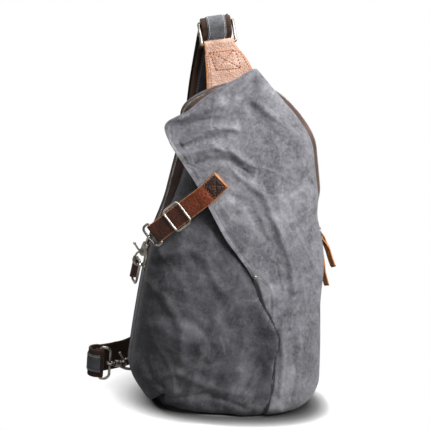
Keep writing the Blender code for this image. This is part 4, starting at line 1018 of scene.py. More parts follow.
def build_flap(mats):
    columns, rows = 150, 190
    top = FLAP_TOP_CORNER[1] - 0.0004
    grid, lifts, wears = [], [], []
    for i in range(rows + 1):
        z = FOOT_LIFT + (top - FOOT_LIFT) * i / rows
        left, right = flap_left_x(z), flap_right_x(z) + FLAP_CLEAR
        right = max(right, left + 0.002)
        start = math.acos(max(min(left / max(right, 0.02), 1), -1))
        bunched = blend_in(z, 0.400, 0.370) if start > 0.05 else 0.0
        row, lift, worn = [], [], []
        for j in range(columns + 1):
            share = j / columns
            if bunched > 0:
                turn = (math.cos(start * (1 - share)) - math.cos(start)) / (1 - math.cos(start))
                share += (turn - share) * bunched
            x = left + (right - left) * share
            row.append((x, flap_y(x, z, FLAP_CLEAR + FLAP_THICK), z))
            high, wear = flap_height(x, z)
            hold = blend_in(right - x, 0.0, 0.008) * blend_in(z, -0.004, 0.006)
            lift.append(high * hold)
            worn.append(wear + 0.5 * blend_in(z, top - 0.006, top))
        grid.append(row)
        lifts.append(lift)
        wears.append(worn)
    points = displaced(grid, (0, -1, 0), lifts)
    grid_piece("wrap_flap", points, (0, -1, 0), FLAP_THICK, mats["canvas"], "waxed_canvas",
               nodes="front_flap", wear=wears, left=False)
    first = next(i for i in range(rows) if grid[i][0][2] > FLAP_FREE_LOW[1] - 0.008)
    line, ups = [], []
    for i in range(first, rows - 12):
        row = points[i]
        k = int(np.searchsorted(row[:, 0] - row[0, 0], 0.0062))
        line.append(V(row[k]))
        ups.append(V((-0.15, -1, 0)).normalized())
    add_piece("flap_hem_stitches", *stitch_row(line, ups, 0.0032, 0.0023, 0.00026, 0.0001),
              mats["grey_thread"], "waxed_canvas")


def build_stud(mats):
    low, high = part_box("flap_rivet")
    centre = V(((low[0] + high[0]) / 2, high[1], (low[2] + high[2]) / 2))
    profile = [(0.0024, 0.0004), (0.0025, 0.0000), (0.0024, -0.0004), (0.0020, -0.0007),
               (0.0013, -0.0008), (0.0010, -0.0011), (0.0006, -0.0012)]
    add_piece("flap_stud", *lathe(profile, centre, Y_AXIS, 28), mats["dark_metal"], "antique_nickel",
              nodes="flap_rivet")


# ---- Zip ------------------------------------------------------------------------------------------

TAPE_THICKNESS, CHAIN_THICKNESS, TOOTH_PITCH = 0.0008, 0.0024, 0.0026


def along_outline(pitch, low, inset=0.0):
    """(x, z, outward normal) every pitch along the outline, from right to left over the arch."""
    fine = outline_path(0.0006, inset, low)
    out, run, due = [], 0.0, 0.0
    for a, b in zip(fine, fine[1:]):
        step = math.hypot(b[0] - a[0], b[1] - a[1])
        while step > 0 and due <= run + step:
            share = (due - run) / step
            out.append(tuple(p + (q - p) * share for p, q in zip(a, b)))
            due += pitch
        run += step
    return out


def build_zip(mats):
    half = CHAIN_WIDTH / 2
    start = ZIP_START_Z + GAP
    for name, node, y0, y1, slanted in (
            ("zip_tape_near", "zip_tape_front", SEAM_Y + GAP, CHAIN_Y - half + 0.0006, True),
            ("zip_tape_far", "zip_tape_back", CHAIN_Y + half - 0.0006, BAND_BACK_Y, False)):
        grid, wear = band_grid(0.0006, spread(y0, y1, 9), 0.004, start, 0.0004, slanted, 9.0, 0.0006)
        grid_piece(name, grid, (0, 0, 1), TAPE_THICKNESS, mats["tape"], "zip_tape", nodes=node,
                   wear=wear)
    teeth = []
    for k, (x, z, nx, nz) in enumerate(along_outline(TOOTH_PITCH / 2, start + 0.0045)):
        side = 1 if k % 2 else -1
        out, up = V((nx, 0, nz)), V((-nz, 0, nx))
        x += settled(x, z)
        centre = V((x, CHAIN_Y + side * 0.0009, z)) - out * (CHAIN_THICKNESS / 2)
        body = soft_box(centre, up, Y_AXIS, out, (0.00105, 0.0034, 0.0021), 0.00028, 1)
        foot = soft_box(centre + Y_AXIS * side * 0.0014, up, Y_AXIS, out,
                        (0.0018, 0.0016, 0.0024), 0.00035, 1)
        teeth += [body, foot]
    verts, faces = join_parts(teeth)
    add_piece("zip_teeth", verts, faces, mats["teeth"], "antique_nickel", nodes="zip_chain")
    for side, sign in (("left", -1), ("right", 1)):
        x = sign * (side_x(start + 0.002) - 0.0009)
        at = V((x + settled(x, start + 0.002), CHAIN_Y, start + 0.002))
        add_piece(f"zip_end_stop_{side}", *soft_box(at, X_AXIS, Y_AXIS, Z_AXIS,
                                                    (0.0030, 0.0054, 0.0036), 0.0006),
                  mats["metal"], "antique_nickel", nodes=f"zip_stop_{side}")
    for name, y, slant in (("zip_stitches_near", SEAM_Y + 0.0036, True),
                           ("zip_stitches_far", BAND_BACK_Y - 0.0036, False)):
        line = along_outline(0.004, start + 0.004, 0.0006)
        share = (CHAIN_Y - CHAIN_WIDTH / 2 - y) / (CHAIN_Y - CHAIN_WIDTH / 2 - SEAM_Y)
        drop = [seam_inset(z) * share * slant for _, z, _, _ in line]
        points = [V((x + settled(x, z) - nx * d, y, z - nz * d))
                  for (x, z, nx, nz), d in zip(line, drop)]
        normals = [V((nx, 0, nz)) for _, _, nx, nz in line]
        add_piece(name, *stitch_row(points, normals, 0.0034, 0.0025, 0.00028, 0.0004),
                  mats["brown_thread"], "zip_tape")
    build_slider("upper", SLIDER_UPPER_Z, 1, math.radians(27), mats)
    build_slider("lower", SLIDER_LOWER_Z, -1, math.radians(14), mats)


def build_slider(which, z, up_sign, hang_angle, mats):
    slope = math.asin((z - SIDE_CENTRE_Z) / SIDE_RADIUS)
    out = V((math.cos(slope), 0, math.sin(slope)))
    up = V((-math.sin(slope), 0, math.cos(slope))) * up_sign
    seat = V((side_x(z), CHAIN_Y, z))
    body = f"zip_slider_{which}"
    plate = seat + out * (GAP + 0.0008)
    parts = [soft_box(plate, up, Y_AXIS, out, (0.0110, 0.0092, 0.0016), 0.0007),
             soft_box(plate + up * 0.0030, up, Y_AXIS, out, (0.0052, 0.0074, 0.0022), 0.0007)]
    parts += [soft_box(seat + Y_AXIS * side * 0.0040 + out * 0.0005, up, Y_AXIS, out,
                       (0.0100, 0.0012, 0.0015), 0.0004) for side in (-1, 1)]
    arch = [plate + up * (0.0040 * math.cos(a)) + out * (0.0005 + 0.0036 * math.sin(a))
            for a in (math.pi * k / 20 for k in range(21))]
    parts.append(tube(arch, Y_AXIS, 0.0008, 12, closed=False))
    add_piece(f"slider_{which}", *join_parts(parts), mats["metal"], "antique_nickel", body,
              f"zip_slider_{which}")
    hinge = plate + out * 0.0026
    hang = V((math.sin(hang_angle), 0, -math.cos(hang_angle)))
    face = V((math.cos(hang_angle), 0, math.sin(hang_angle)))
    swing = f"zip_pull_{which}"
    radius, wire = 0.0046, 0.0007
    ring_centre = hinge + hang * radius
    loop = rounded_loop(ring_centre, Y_AXIS, hang, 0.0052, radius, (0.0014, 0.0014))
    add_piece(f"slider_ring_{which}", *tube(loop, face, wire, 12), mats["metal"], "antique_nickel",
              swing, f"pull_ring_{which}")
    fold = ring_centre + hang * radius
    thick, length = 0.0014, 0.046
    bend = wire + GAP + thick / 2

    def layer(drop, sign):
        turn = PULL_TWIST * min(drop / 0.020, 1)
        normal = face * math.cos(turn) + Y_AXIS * math.sin(turn)
        across = Y_AXIS * math.cos(turn) - face * math.sin(turn)
        away = bend if drop < 0.002 else bend + (thick * 0.52 - bend) * blend_in(drop, 0.002, 0.012)
        curl = face * 0.0012 * math.sin(drop * 90 + (1 if which == "upper" else 3))
        return fold + hang * drop + curl * blend_in(drop, 0.01, 0.03) + normal * sign * away, across

    drops = [length * (1 - k / 22) for k in range(23)]
    runs = [layer(drop, 1) for drop in drops]
    runs += [(fold + (face * math.cos(a) - hang * math.sin(a)) * bend, Y_AXIS)
             for a in (math.pi * k / 10 for k in range(1, 10))]
    runs += [layer(drop, -1) for drop in drops[::-1][:-1]]
    stations = strap_stations([point for point, _ in runs], [across for _, across in runs],
                              PULL_WIDTH)
    strap_piece(f"leather_pull_{which}", stations, thick, [mats["pull"], mats["edge"]],
                "brown_leather", swing, f"pull_leather_{which}", 6)
    rows = []
    for a in (-0.66, 0.66):
        front = stations[1:20]
        for lift in (thick / 2, -thick / 2):
            rows.append(stitches_on(front, a, lift, pitch=0.0030, length=0.0021, radius=0.00022))
    add_piece(f"pull_stitches_{which}", *join_parts(rows), mats["tan_thread"], "brown_leather",
              swing)


# ---- Top leather, ring and strap ------------------------------------------------------------------

ACROSS = V((math.cos(TOP_LEAN), 0, math.sin(TOP_LEAN)))
TOP_UP = V((-math.sin(TOP_LEAN), 0, math.cos(TOP_LEAN)))
TOP_HINGE = V((-0.0375, 0.0503, 0.457))
RING_UP = TOP_UP * math.cos(RING_BACK_LEAN) + Y_AXIS * math.sin(RING_BACK_LEAN)
RING_WIRE, RING_RISE, RING_CORNER = 0.0020, 0.029, 0.0026
RING_HALF = WEBBING_WIDTH / 2 + 0.0008 + RING_WIRE
TOP_BAR = TOP_HINGE + RING_UP * RING_RISE
ROLL_RADIUS, ROLL_CENTRE = 0.0082, TOP_BAR - TOP_UP * 0.0035
ADJUSTER_AT, BAR = V((-0.049, 0.0840, 0.300)), 0.0015
END_WIRE, END_RING, END_RING_REACH = 0.0018, V((-0.154, 0.056, 0.0245)), 0.0125
END_FOLD = END_RING - X_AXIS * (END_RING_REACH / 2)
END_EYE_POINT = END_RING + X_AXIS * (END_RING_REACH / 2)


def box_puff(half, start, end, height, groove):
    """A sewn rectangle with crossed diagonals: cushioned between its seams."""
    def puff(u, run):
        across, share = abs(u) / half, (run - start) / (end - start)
        if across > 1.25 or not -0.2 < share < 1.2:
            return 0.0
        along = 2 * share - 1
        seams = [abs(across - 1) * half, abs(abs(along) - 1) * (end - start) / 2,
                 abs(abs(along) - across) * half * 0.7]
        inside = across < 1 and abs(along) < 1
        near = min(seams)
        lift = height * min(near / (half * 0.35), 1) ** 0.7 if inside else 0.0
        return lift - groove * math.exp(-(near / 0.0007) ** 2)
    return puff


def box_stitches(stations, half, start, end, lift, pitch=0.0033, length=0.0024, radius=0.0003):
    """The stitches of that rectangle, on the face of the strap."""
    runs, total = [0.0], 0.0
    for a, b in zip(stations, stations[1:]):
        total += (b[0] - a[0]).length
        runs.append(total)

    def at(u, run):
        run = min(max(run, 0.0), runs[-1] - 1e-6)
        i = max(int(np.searchsorted(runs, run, side="right")) - 1, 0)
        share = (run - runs[i]) / (runs[i + 1] - runs[i])
        centre = stations[i][0].lerp(stations[i + 1][0], share)
        side = stations[i][1].normalized()
        normal = stations[i][2].lerp(stations[i + 1][2], share).normalized()
        return centre + side * u + normal * lift, normal * (1 if lift > 0 else -1)

    corners = [(-half, start), (half, start), (half, end), (-half, end), (-half, start)]
    lines = list(zip(corners, corners[1:])) + [(corners[0], corners[2]), (corners[1], corners[3])]
    rows = []
    for (u0, r0), (u1, r1) in lines:
        samples = [at(u0 + (u1 - u0) * k / 12, r0 + (r1 - r0) * k / 12) for k in range(13)]
        rows.append(stitch_row([p for p, _ in samples], [n for _, n in samples],
                               pitch, length, radius))
    return join_parts(rows)


def build_top(mats):
    bend = RING_WIRE + GAP + LEATHER / 2
    y_front, y_back = TOP_HINGE.y - bend, TOP_HINGE.y + bend
    foot = [((-0.044, 0.372), (0.016, 0.378)), ((-0.0475, 0.398), (0.0132, 0.408)),
            ((-0.0510, 0.425), (0.0022, 0.4335))]
    half = ACROSS * 0.0192
    spine = []
    for (x0, z0), (x1, z1) in foot:
        left, right = V((x0, y_front, z0)), V((x1, y_front, z1))
        spine.append(((left + right) / 2, (right - left) / 2))
    spine.append((V((TOP_HINGE.x, y_front, TOP_HINGE.z)) - TOP_UP * 0.002, half))
    centres = smooth_path([c for c, _ in spine], 8)
    halves = smooth_path([h for _, h in spine], 8)
    stations = [(c, h, -Y_AXIS) for c, h in zip(centres, halves)]
    first_fold = len(stations)
    for k in range(17):
        normal = -Y_AXIS * math.cos(math.pi * k / 16) + TOP_UP * math.sin(math.pi * k / 16)
        stations.append((TOP_HINGE + normal * bend, half, normal))
    for k in range(1, 9):
        centre = V((TOP_HINGE.x, y_back, TOP_HINGE.z)) - TOP_UP * 0.024 * k / 8
        stations.append((centre, half, Y_AXIS))
    run = sum((b[0] - a[0]).length for a, b in zip(stations[:first_fold], stations[1:first_fold]))
    low, high, half_box = run - 0.0325, run - 0.0080, 0.0158
    puff = box_puff(half_box, low, high, 0.0006, 0.0005)
    strap_piece("top_tab", stations, LEATHER, [mats["tan"], mats["edge"]], "tan_leather",
                nodes="top_leather", columns=28,
                puff=lambda u, at: puff(u, at) if at < run - 0.004 else 0.0)
    outward = 0.5 * LEATHER
    lap = [(c - Y_AXIS * 0.0016, h * 1.045, n) for c, h, n in stations[:first_fold - 3]]
    lap_puff = box_puff(half_box, low, high, 0.0009, 0.0005)
    strap_piece("top_tab_lap", lap, 0.0014, [mats["tan"], mats["edge"]], "tan_leather",
                columns=28, puff=lap_puff, cut_start=0.0009)
    outward += 0.0014
    rows = [box_stitches(stations, half_box, low, high, outward + 0.0003, 0.0036, 0.0029, 0.00046)]
    rows += [stitches_on(lap, a, 0.0009, length=0.0028, radius=0.00042)
             for a in (-0.90, -0.80, 0.90)]
    lip = lap[-1]
    top_row = [lip[0] + lip[1] * a - TOP_UP * 0.0022
               for a in (-0.92, -0.46, 0.0, 0.46, 0.92)]
    rows.append(stitch_row([q - Y_AXIS * 0.0007 for q in top_row], [-Y_AXIS] * 5))
    add_piece("top_tab_stitches", *join_parts(rows), mats["tan_thread"], "tan_leather")
    loop = rounded_loop(TOP_HINGE + RING_UP * (RING_RISE / 2), ACROSS, RING_UP,
                        RING_HALF, RING_RISE / 2, (RING_CORNER, RING_CORNER))
    add_piece("top_rectangle_ring", *tube(loop, ACROSS.cross(RING_UP), RING_WIRE, 20),
              mats["metal"], "antique_nickel", "top_ring", "top_ring")


def roll_point(angle):
    return ROLL_CENTRE + (Y_AXIS * math.cos(angle) + TOP_UP * math.sin(angle)) * ROLL_RADIUS


def strap_route():
    """The webbing from the loop on the adjuster, over the top ring, down and round to the clip."""
    bend = BAR + 0.0004 + WEBBING_THICKNESS / 2
    path = [ADJUSTER_AT + V((0, bend, 0.016)), ADJUSTER_AT + V((0, bend, 0.006))]
    path += [ADJUSTER_AT + V((0, math.cos(a), -math.sin(a))) * bend
             for a in (math.pi * k / 6 for k in range(7))]
    tail = [(-0.049, 0.0800, 0.315), (-0.049, 0.0745, 0.350), (-0.0475, 0.0690, 0.400),
            (-0.0440, 0.0655, 0.436), (-0.0405, 0.0640, 0.458)]
    path += smooth_path([path[-1] + V((0, 0, 0.003))] + [V(p) for p in tail], 2)
    path += [ROLL_CENTRE - TOP_UP * 0.0125 - Y_AXIS * 0.0035]
    path += [roll_point(math.radians(a)) for a in (215, 195, 170, 145, 120, 95, 70, 45, 20, 0)]
    main = [(-0.0445, 0.0730, 0.462), (-0.0465, 0.0775, 0.435), (-0.049, 0.0840, 0.395),
            (-0.050, 0.0895, 0.345), (-0.050, 0.0935, 0.300), (-0.049, 0.0985, 0.240),
            (-0.047, 0.1030, 0.180), (-0.050, 0.1060, 0.122), (-0.064, 0.1070, 0.076),
            (-0.090, 0.1040, 0.044), (-0.120, 0.0970, 0.028), (-0.145, 0.0870, 0.0238)]
    path += smooth_path([V(p) for p in main], 3)
    centre, radius = V((-0.1630, 0.0660, 0.0240)), 0.0120
    path += [centre + V((math.cos(math.radians(a)), math.sin(math.radians(a)), 0)) * radius
             for a in (75, 95, 115, 135, 155, 175, 195, 215, 235, 252)]
    bend = END_WIRE + 0.0004 + WEBBING_THICKNESS / 2
    path += [END_FOLD + V((math.sin(a), -math.cos(a), 0)) * bend
             for a in (math.pi * k / 6 for k in range(7))]
    path += [END_FOLD + V((-0.004, bend, 0)), END_FOLD + V((-0.0068, bend, 0))]
    return path


def strap_across(path):
    """The webbing's width runs level behind the bag and turns upright along the floor."""
    hints = []
    past_roll = False
    for point in path:
        past_roll = past_roll or point.z > ROLL_CENTRE.z
        if not past_roll or point.z > 0.44:
            lean = min(max((point.z - 0.42) / 0.04, 0), 1)
            hints.append(X_AXIS.lerp(ACROSS, lean).normalized())
        else:
            angle = math.pi / 2 * blend_in(0.20 - point.z, 0.0, 0.155)
            if point.x < -0.118:
                angle = math.pi / 2
            hints.append(V((math.cos(angle), 0, -math.sin(angle))))
    return hints


def flip_consistent(stations):
    out = [stations[0]]
    for centre, half, normal in stations[1:]:
        if half.dot(out[-1][1]) < 0:
            half, normal = -half, -normal
        out.append((centre, half, normal))
    return out


def narrowed(stations, lift, width):
    return [(c + n * lift, h.normalized() * (width / 2), n) for c, h, n in stations]


FINE = 3                             # stations between two of the route's points


def build_strap(mats):
    path = smooth_path(strap_route(), FINE)
    stations = flip_consistent(strap_stations(path, strap_across(path), WEBBING_WIDTH))
    strap_piece("sling_webbing", stations, WEBBING_THICKNESS, [mats["webbing"]], "brown_webbing",
                nodes="strap_webbing", columns=12)
    top = max(stations, key=lambda s: s[0].z)
    outer = 1 if (top[0] - ROLL_CENTRE).dot(top[2]) > 0 else -1
    lift = WEBBING_THICKNESS / 2 + 0.0008 + FACING_THICKNESS / 2
    near = WEBBING_THICKNESS / 2 + FACING_THICKNESS / 2
    facing = narrowed(stations[11 * FINE:-8 * FINE], outer * (near + 0.25 * (lift - near)),
                      FACING_WIDTH)

    def swell(u, run):
        edge = abs(u) / (FACING_WIDTH / 2)
        stitched = math.exp(-((edge - 0.80) / 0.07) ** 2)
        return outer * (0.0005 * (1 - edge ** 6) - 0.0003 * stitched
                        + 0.0003 * noise.noise(V((u * 120, run * 60, 3.0))))

    strap_piece("sling_facing", facing, FACING_THICKNESS, [mats["facing"]], "waxed_canvas",
                nodes="strap_facing", columns=16, puff=swell,
                wear=lambda u, run, h: max(noise.noise(V((u * 90, run * 45, 8.0))), 0.0) * 0.7)
    face = outer * (FACING_THICKNESS / 2 + 0.0004)
    rows = [stitches_on(facing, a, face, pitch=0.0036, length=0.0027, radius=0.00034)
            for a in (-0.80, 0.80)]
    add_piece("sling_stitches", *join_parts(rows), mats["white_thread"], "waxed_canvas")
    build_adjuster(mats)


def build_adjuster(mats):
    half = WEBBING_WIDTH / 2 + 0.0014 + BAR
    main_y = ADJUSTER_AT.y + BAR + 0.0004 + WEBBING_THICKNESS + GAP + 0.0052
    outer_y = main_y + WEBBING_THICKNESS + FACING_THICKNESS + 2 * GAP + BAR
    frame_loop = rounded_loop(V((ADJUSTER_AT.x, outer_y, ADJUSTER_AT.z)), X_AXIS, Z_AXIS,
                              half, 0.013, (0.004, 0.004))
    drop = outer_y - ADJUSTER_AT.y
    bow = []
    for x, y in ((-half, outer_y), (-half, outer_y - drop * 0.86), (-half + 0.0012, ADJUSTER_AT.y),
                 (0, ADJUSTER_AT.y), (half - 0.0012, ADJUSTER_AT.y),
                 (half, outer_y - drop * 0.86), (half, outer_y)):
        bow.append(V((ADJUSTER_AT.x + x, y, ADJUSTER_AT.z)))
    parts = [tube(frame_loop, -Y_AXIS, BAR, 18),
             tube(smooth_path(bow, 6), Z_AXIS, BAR * 0.98, 18, closed=False)]
    add_piece("sling_adjuster", *join_parts(parts), mats["metal"], "antique_nickel",
              nodes="strap_adjuster")


# ---- Side strap -----------------------------------------------------------------------------------

SIDE_WIRE = 0.0015
SIDE_FOLD = V((-0.1085, -0.0285, 0.2255))
SIDE_START, SIDE_KNEE = V((-0.0330, -0.0418, 0.3000)), V((-0.0520, -0.0482, 0.2815))
SIDE_ALONG = (SIDE_FOLD - SIDE_KNEE).normalized()
SIDE_NORMAL = V((-0.22, -0.95, 0.12))
SIDE_NORMAL = (SIDE_NORMAL - SIDE_ALONG * SIDE_NORMAL.dot(SIDE_ALONG)).normalized()
SIDE_ACROSS = SIDE_ALONG.cross(SIDE_NORMAL).normalized()
SIDE_RING_REACH, BUCKLE_FROM_FOLD = 0.0105, 0.0370
HOOK_DIRECTION = V((-0.27, 0.24, -0.93)).normalized()


def build_side_strap(mats):
    bend = SIDE_WIRE + 0.0004 + LEATHER / 2
    offset = SIDE_NORMAL * bend
    near_end = SIDE_START.lerp(SIDE_KNEE, 0.02)
    path = [SIDE_START, SIDE_START.lerp(SIDE_KNEE, 0.01)]
    path += smooth_path([near_end, SIDE_START.lerp(SIDE_KNEE, 0.5) - Y_AXIS * 0.0008, SIDE_KNEE,
                         SIDE_KNEE.lerp(SIDE_FOLD + offset, 0.25),
                         SIDE_KNEE.lerp(SIDE_FOLD + offset, 0.7), SIDE_FOLD + offset], 8)
    path += [SIDE_FOLD + (SIDE_NORMAL * math.cos(a) + SIDE_ALONG * math.sin(a)) * bend
             for a in (math.pi * k / 16 for k in range(1, 16))]
    path += [SIDE_FOLD - offset - SIDE_ALONG * 0.018 * k / 6 for k in range(7)]
    stations = strap_stations(path, SIDE_ACROSS, SIDE_STRAP_WIDTH)
    sign = 1 if stations[20][2].dot(SIDE_NORMAL) > 0 else -1
    total = (SIDE_KNEE - SIDE_START).length + (SIDE_FOLD - SIDE_KNEE).length
    start, end, half = 0.0024, 0.0226, 0.0104
    puff = box_puff(half, start, end, 0.0004, 0.0004)
    strap_piece("side_strap_leather", stations, LEATHER, [mats["brown"], mats["edge"]],
                "brown_leather", nodes="side_strap", columns=20, cut_end=0.0010,
                puff=lambda u, run: sign * puff(u, run) if run < total else 0.0)
    lift = sign * LEATHER / 2
    rows = [box_stitches(stations, half, start, end, lift, 0.0030, 0.0021, 0.00026)]
    for a in (-0.88, 0.88):
        rows.append(stitches_on(stations[1:40], a, lift, pitch=0.0031, length=0.0022,
                                radius=0.00024))
    add_piece("side_strap_stitches", *join_parts(rows), mats["rust_thread"], "brown_leather")
    build_side_buckle(mats)


def build_side_buckle(mats):
    wire = 0.0014
    half, reach = SIDE_STRAP_WIDTH / 2 + 0.0014 + wire, 0.0115
    fold_top = SIDE_FOLD + SIDE_NORMAL * (SIDE_WIRE + 0.0004 + LEATHER / 2)
    at = fold_top + (SIDE_KNEE - fold_top).normalized() * BUCKLE_FROM_FOLD
    lift = SIDE_NORMAL * (LEATHER / 2 + 0.0007 + wire)
    top, low = at + lift, at - lift - SIDE_NORMAL * 0.0004
    loop = rounded_loop(top, SIDE_ACROSS, SIDE_ALONG, half, reach, (0.0045, 0.0045))
    bow = [top + SIDE_ACROSS * half, top.lerp(low, 0.6) + SIDE_ACROSS * half,
           low + SIDE_ACROSS * (half - 0.002), low, low - SIDE_ACROSS * (half - 0.002),
           top.lerp(low, 0.6) - SIDE_ACROSS * half, top - SIDE_ACROSS * half]
    parts = [tube(loop, SIDE_ACROSS.cross(SIDE_ALONG), wire, 18),
             tube(smooth_path(bow, 6), SIDE_ALONG, wire * 0.97, 18, closed=False)]
    add_piece("strap_slide", *join_parts(parts), mats["metal"], "antique_nickel", "side_buckle",
              "side_buckle")


# ---- Clips ----------------------------------------------------------------------------------------

EYE_RADIUS, EYE_WIRE = 0.0044 * HOOK_SCALE, 0.0013 * HOOK_SCALE
BIGHT_Z, BIGHT_RADIUS, BIGHT_WIRE = 0.0285, 0.0064, 0.0018   # before scaling
D_RING_WIRE, HOLD_SLACK = 0.0015, 0.0028
HOOK_REACH = (BIGHT_Z + BIGHT_RADIUS - BIGHT_WIRE) * HOOK_SCALE - D_RING_WIRE - HOLD_SLACK


def build_clip(prefix, wire_point, wire_along, wire_radius, direction, face, hand, mats):
    """A swivel clip: eye with stud, hook body with its barrel and cheeks, gate with lever, pin."""
    s, up, metal = HOOK_SCALE, -direction, mats["dark_metal"]
    eye_centre = wire_point + direction * (EYE_RADIUS - EYE_WIRE - wire_radius - 0.0008)
    eye_normal = (wire_along - direction * wire_along.dot(direction)).normalized()
    eye_side = eye_normal.cross(up).normalized()
    circle = [eye_centre + (eye_side * math.cos(a) + up * math.sin(a)) * EYE_RADIUS
              for a in (2 * math.pi * k / 40 for k in range(40))]
    stud = [(0.0016, 0.0046), (0.0018, 0.0050), (0.0018, 0.0091), (0.0026, 0.0093),
            (0.0027, 0.0096), (0.0027, 0.0106), (0.0024, 0.0108)]
    add_piece(f"{prefix}_swivel_eye", *join_parts([
        tube(circle, eye_normal, EYE_WIRE, 18),
        lathe([(r * s, h * s) for r, h in stud], eye_centre, direction, 28)]),
        metal, "antique_nickel", f"{prefix}_eye", f"{prefix}_eye")
    face = (face - direction * face.dot(direction)).normalized()
    side = up.cross(face).normalized() * hand

    def at(x, z, y=0.0):
        return eye_centre + (side * x + up * z + face * y) * s

    barrel = [(0.0021, 0.0061), (0.0038, 0.0061), (0.0042, 0.0065), (0.0043, 0.0074),
              (0.0040, 0.0079), (0.0040, 0.0084), (0.0043, 0.0089), (0.0043, 0.0112),
              (0.0040, 0.0117), (0.0040, 0.0122), (0.0042, 0.0127), (0.0040, 0.0133),
              (0.0030, 0.0138), (0.0010, 0.0140)]
    parts = [lathe([(r * s, h * s) for r, h in barrel], eye_centre, direction, 32)]
    disc = [(0.0020, 0.0), (0.0042, 0.0), (0.0046, 0.0004), (0.0046, 0.0008), (0.0043, 0.0012)]
    for sign in (-1, 1):
        parts.append(lathe([(r * s, h * s) for r, h in disc], at(0.0004, -0.0172, sign * 0.0015),
                           face * sign, 32))
        ringed = [at(0.0004 + 0.0034 * math.cos(a), -0.0172 + 0.0034 * math.sin(a), sign * 0.0027)
                  for a in (2 * math.pi * k / 32 for k in range(32))]
        parts.append(tube(ringed, face, 0.00035 * s, 8))
    shank = [at(0.0022, -0.0132), at(0.0036, -0.0160), at(0.0046, -0.0190), at(0.0056, -0.0220),
             at(0.0062, -0.0255)]
    shank += [at(BIGHT_RADIUS * math.cos(a), -BIGHT_Z - BIGHT_RADIUS * math.sin(a))
              for a in (math.pi * k / 22 for k in range(23))]
    shank.append(at(-0.0063, -0.0262))
    parts.append(tube(smooth_path(shank[:5], 4)[:-1] + shank[4:], face, BIGHT_WIRE * s, 18,
                      closed=False))
    add_piece(f"{prefix}_hook", *join_parts(parts), metal, "antique_nickel", f"{prefix}_hook",
              f"{prefix}_hook_body")
    hinge = at(-0.0010, -0.0176)
    drum = [(0.0024, 0.0), (0.0026, 0.0002), (0.0026, 0.0021), (0.0024, 0.0023)]
    bar = smooth_path([at(-0.0022, -0.0180), at(-0.0054, -0.0206), at(-0.0064, -0.0252)], 6)
    lever = smooth_path([at(-0.0016, -0.0176), at(-0.0058, -0.0166), at(-0.0125, -0.0110)], 6)
    parts = [lathe([(r * s, h * s) for r, h in drum], hinge - face * 0.00115 * s, face, 28),
             tube(bar, face, 0.0011 * s, 14, closed=False),
             tube(lever, face, 0.0011 * s, 14, closed=False),
             lathe([(0.0006 * s, -0.0016 * s), (0.0013 * s, -0.0013 * s), (0.0016 * s, -0.0004 * s),
                    (0.0016 * s, 0.0004 * s), (0.0013 * s, 0.0013 * s), (0.0006 * s, 0.0016 * s)],
                   at(-0.0125, -0.0110), lever[-1] - lever[-2], 20)]
    add_piece(f"{prefix}_gate_lever", *join_parts(parts), metal, "antique_nickel",
              f"{prefix}_gate", f"{prefix}_gate")
    pin = [(0.0011, -0.0040), (0.0019, -0.0038), (0.0021, -0.0033), (0.0021, -0.0030),
           (0.0009, -0.0030), (0.0009, 0.0030), (0.0021, 0.0030), (0.0021, 0.0033),
           (0.0019, 0.0038), (0.0011, 0.0040)]
    add_piece(f"{prefix}_hinge_pin", *lathe([(r * s, h * s) for r, h in pin], hinge, face, 28),
              metal, "antique_nickel", f"{prefix}_hook", f"{prefix}_pin")
    return eye_centre + direction * HOOK_REACH


def build_catch(prefix, hold, forward, down, depth, height, lap, away, mats):
    """A D-ring and the folded leather tab that holds its straight wire."""
    wire = D_RING_WIRE
    across = forward.cross(down).normalized()
    straight_top = hold - forward * (depth - 0.0080)
    centre = straight_top + forward * (depth / 2) + down * (height / 2)
    loop = []
    for k, (sx, sy, corner) in enumerate(((1, 1, 0.0075), (-1, 1, 0.0022),
                                          (-1, -1, 0.0022), (1, -1, 0.0075))):
        for i in range(10):
            a = math.pi / 2 * (k + i / 9)
            x = sx * (depth / 2 - corner) + corner * math.cos(a)
            y = sy * (height / 2 - corner) + corner * math.sin(a)
            loop.append(centre + forward * x + down * y)
    hinge = straight_top + down * (height / 2)
    add_piece(f"{prefix}_dee", *tube(loop, across, wire, 18), mats["dark_metal"], "antique_nickel",
              f"{prefix}_d_ring", f"{prefix}_d_ring")
    bend = wire + 0.0004 + LEATHER / 2
    away = away.normalized()
    side = down.cross(away).normalized()
    path = [hinge + away * (lap + (0.002 - lap) * k / 5) + side * bend for k in range(6)]
    path += [hinge + (side * math.cos(a) - away * math.sin(a)) * bend
             for a in (math.pi * k / 14 for k in range(15))]
    path += [hinge + away * (0.002 + (lap - 0.002) * k / 5) - side * bend for k in range(6)]
    stations = strap_stations(path, down, height - 0.005)
    strap_piece(f"{prefix}_leather_tab", stations, LEATHER, [mats["tab"], mats["edge"]],
                "brown_leather", nodes=f"{prefix}_tab", columns=14)
    rows = []
    for part in (stations[1:5], stations[-5:-1]):
        out = (part[0][0] - hinge).dot(part[0][2])
        rows += [stitches_on(part, a, math.copysign(LEATHER / 2, out), pitch=0.0026,
                             length=0.0019, radius=0.00024) for a in (-0.84, 0.84)]
    add_piece(f"{prefix}_tab_stitches", *join_parts(rows), mats["tan_thread"], "brown_leather")


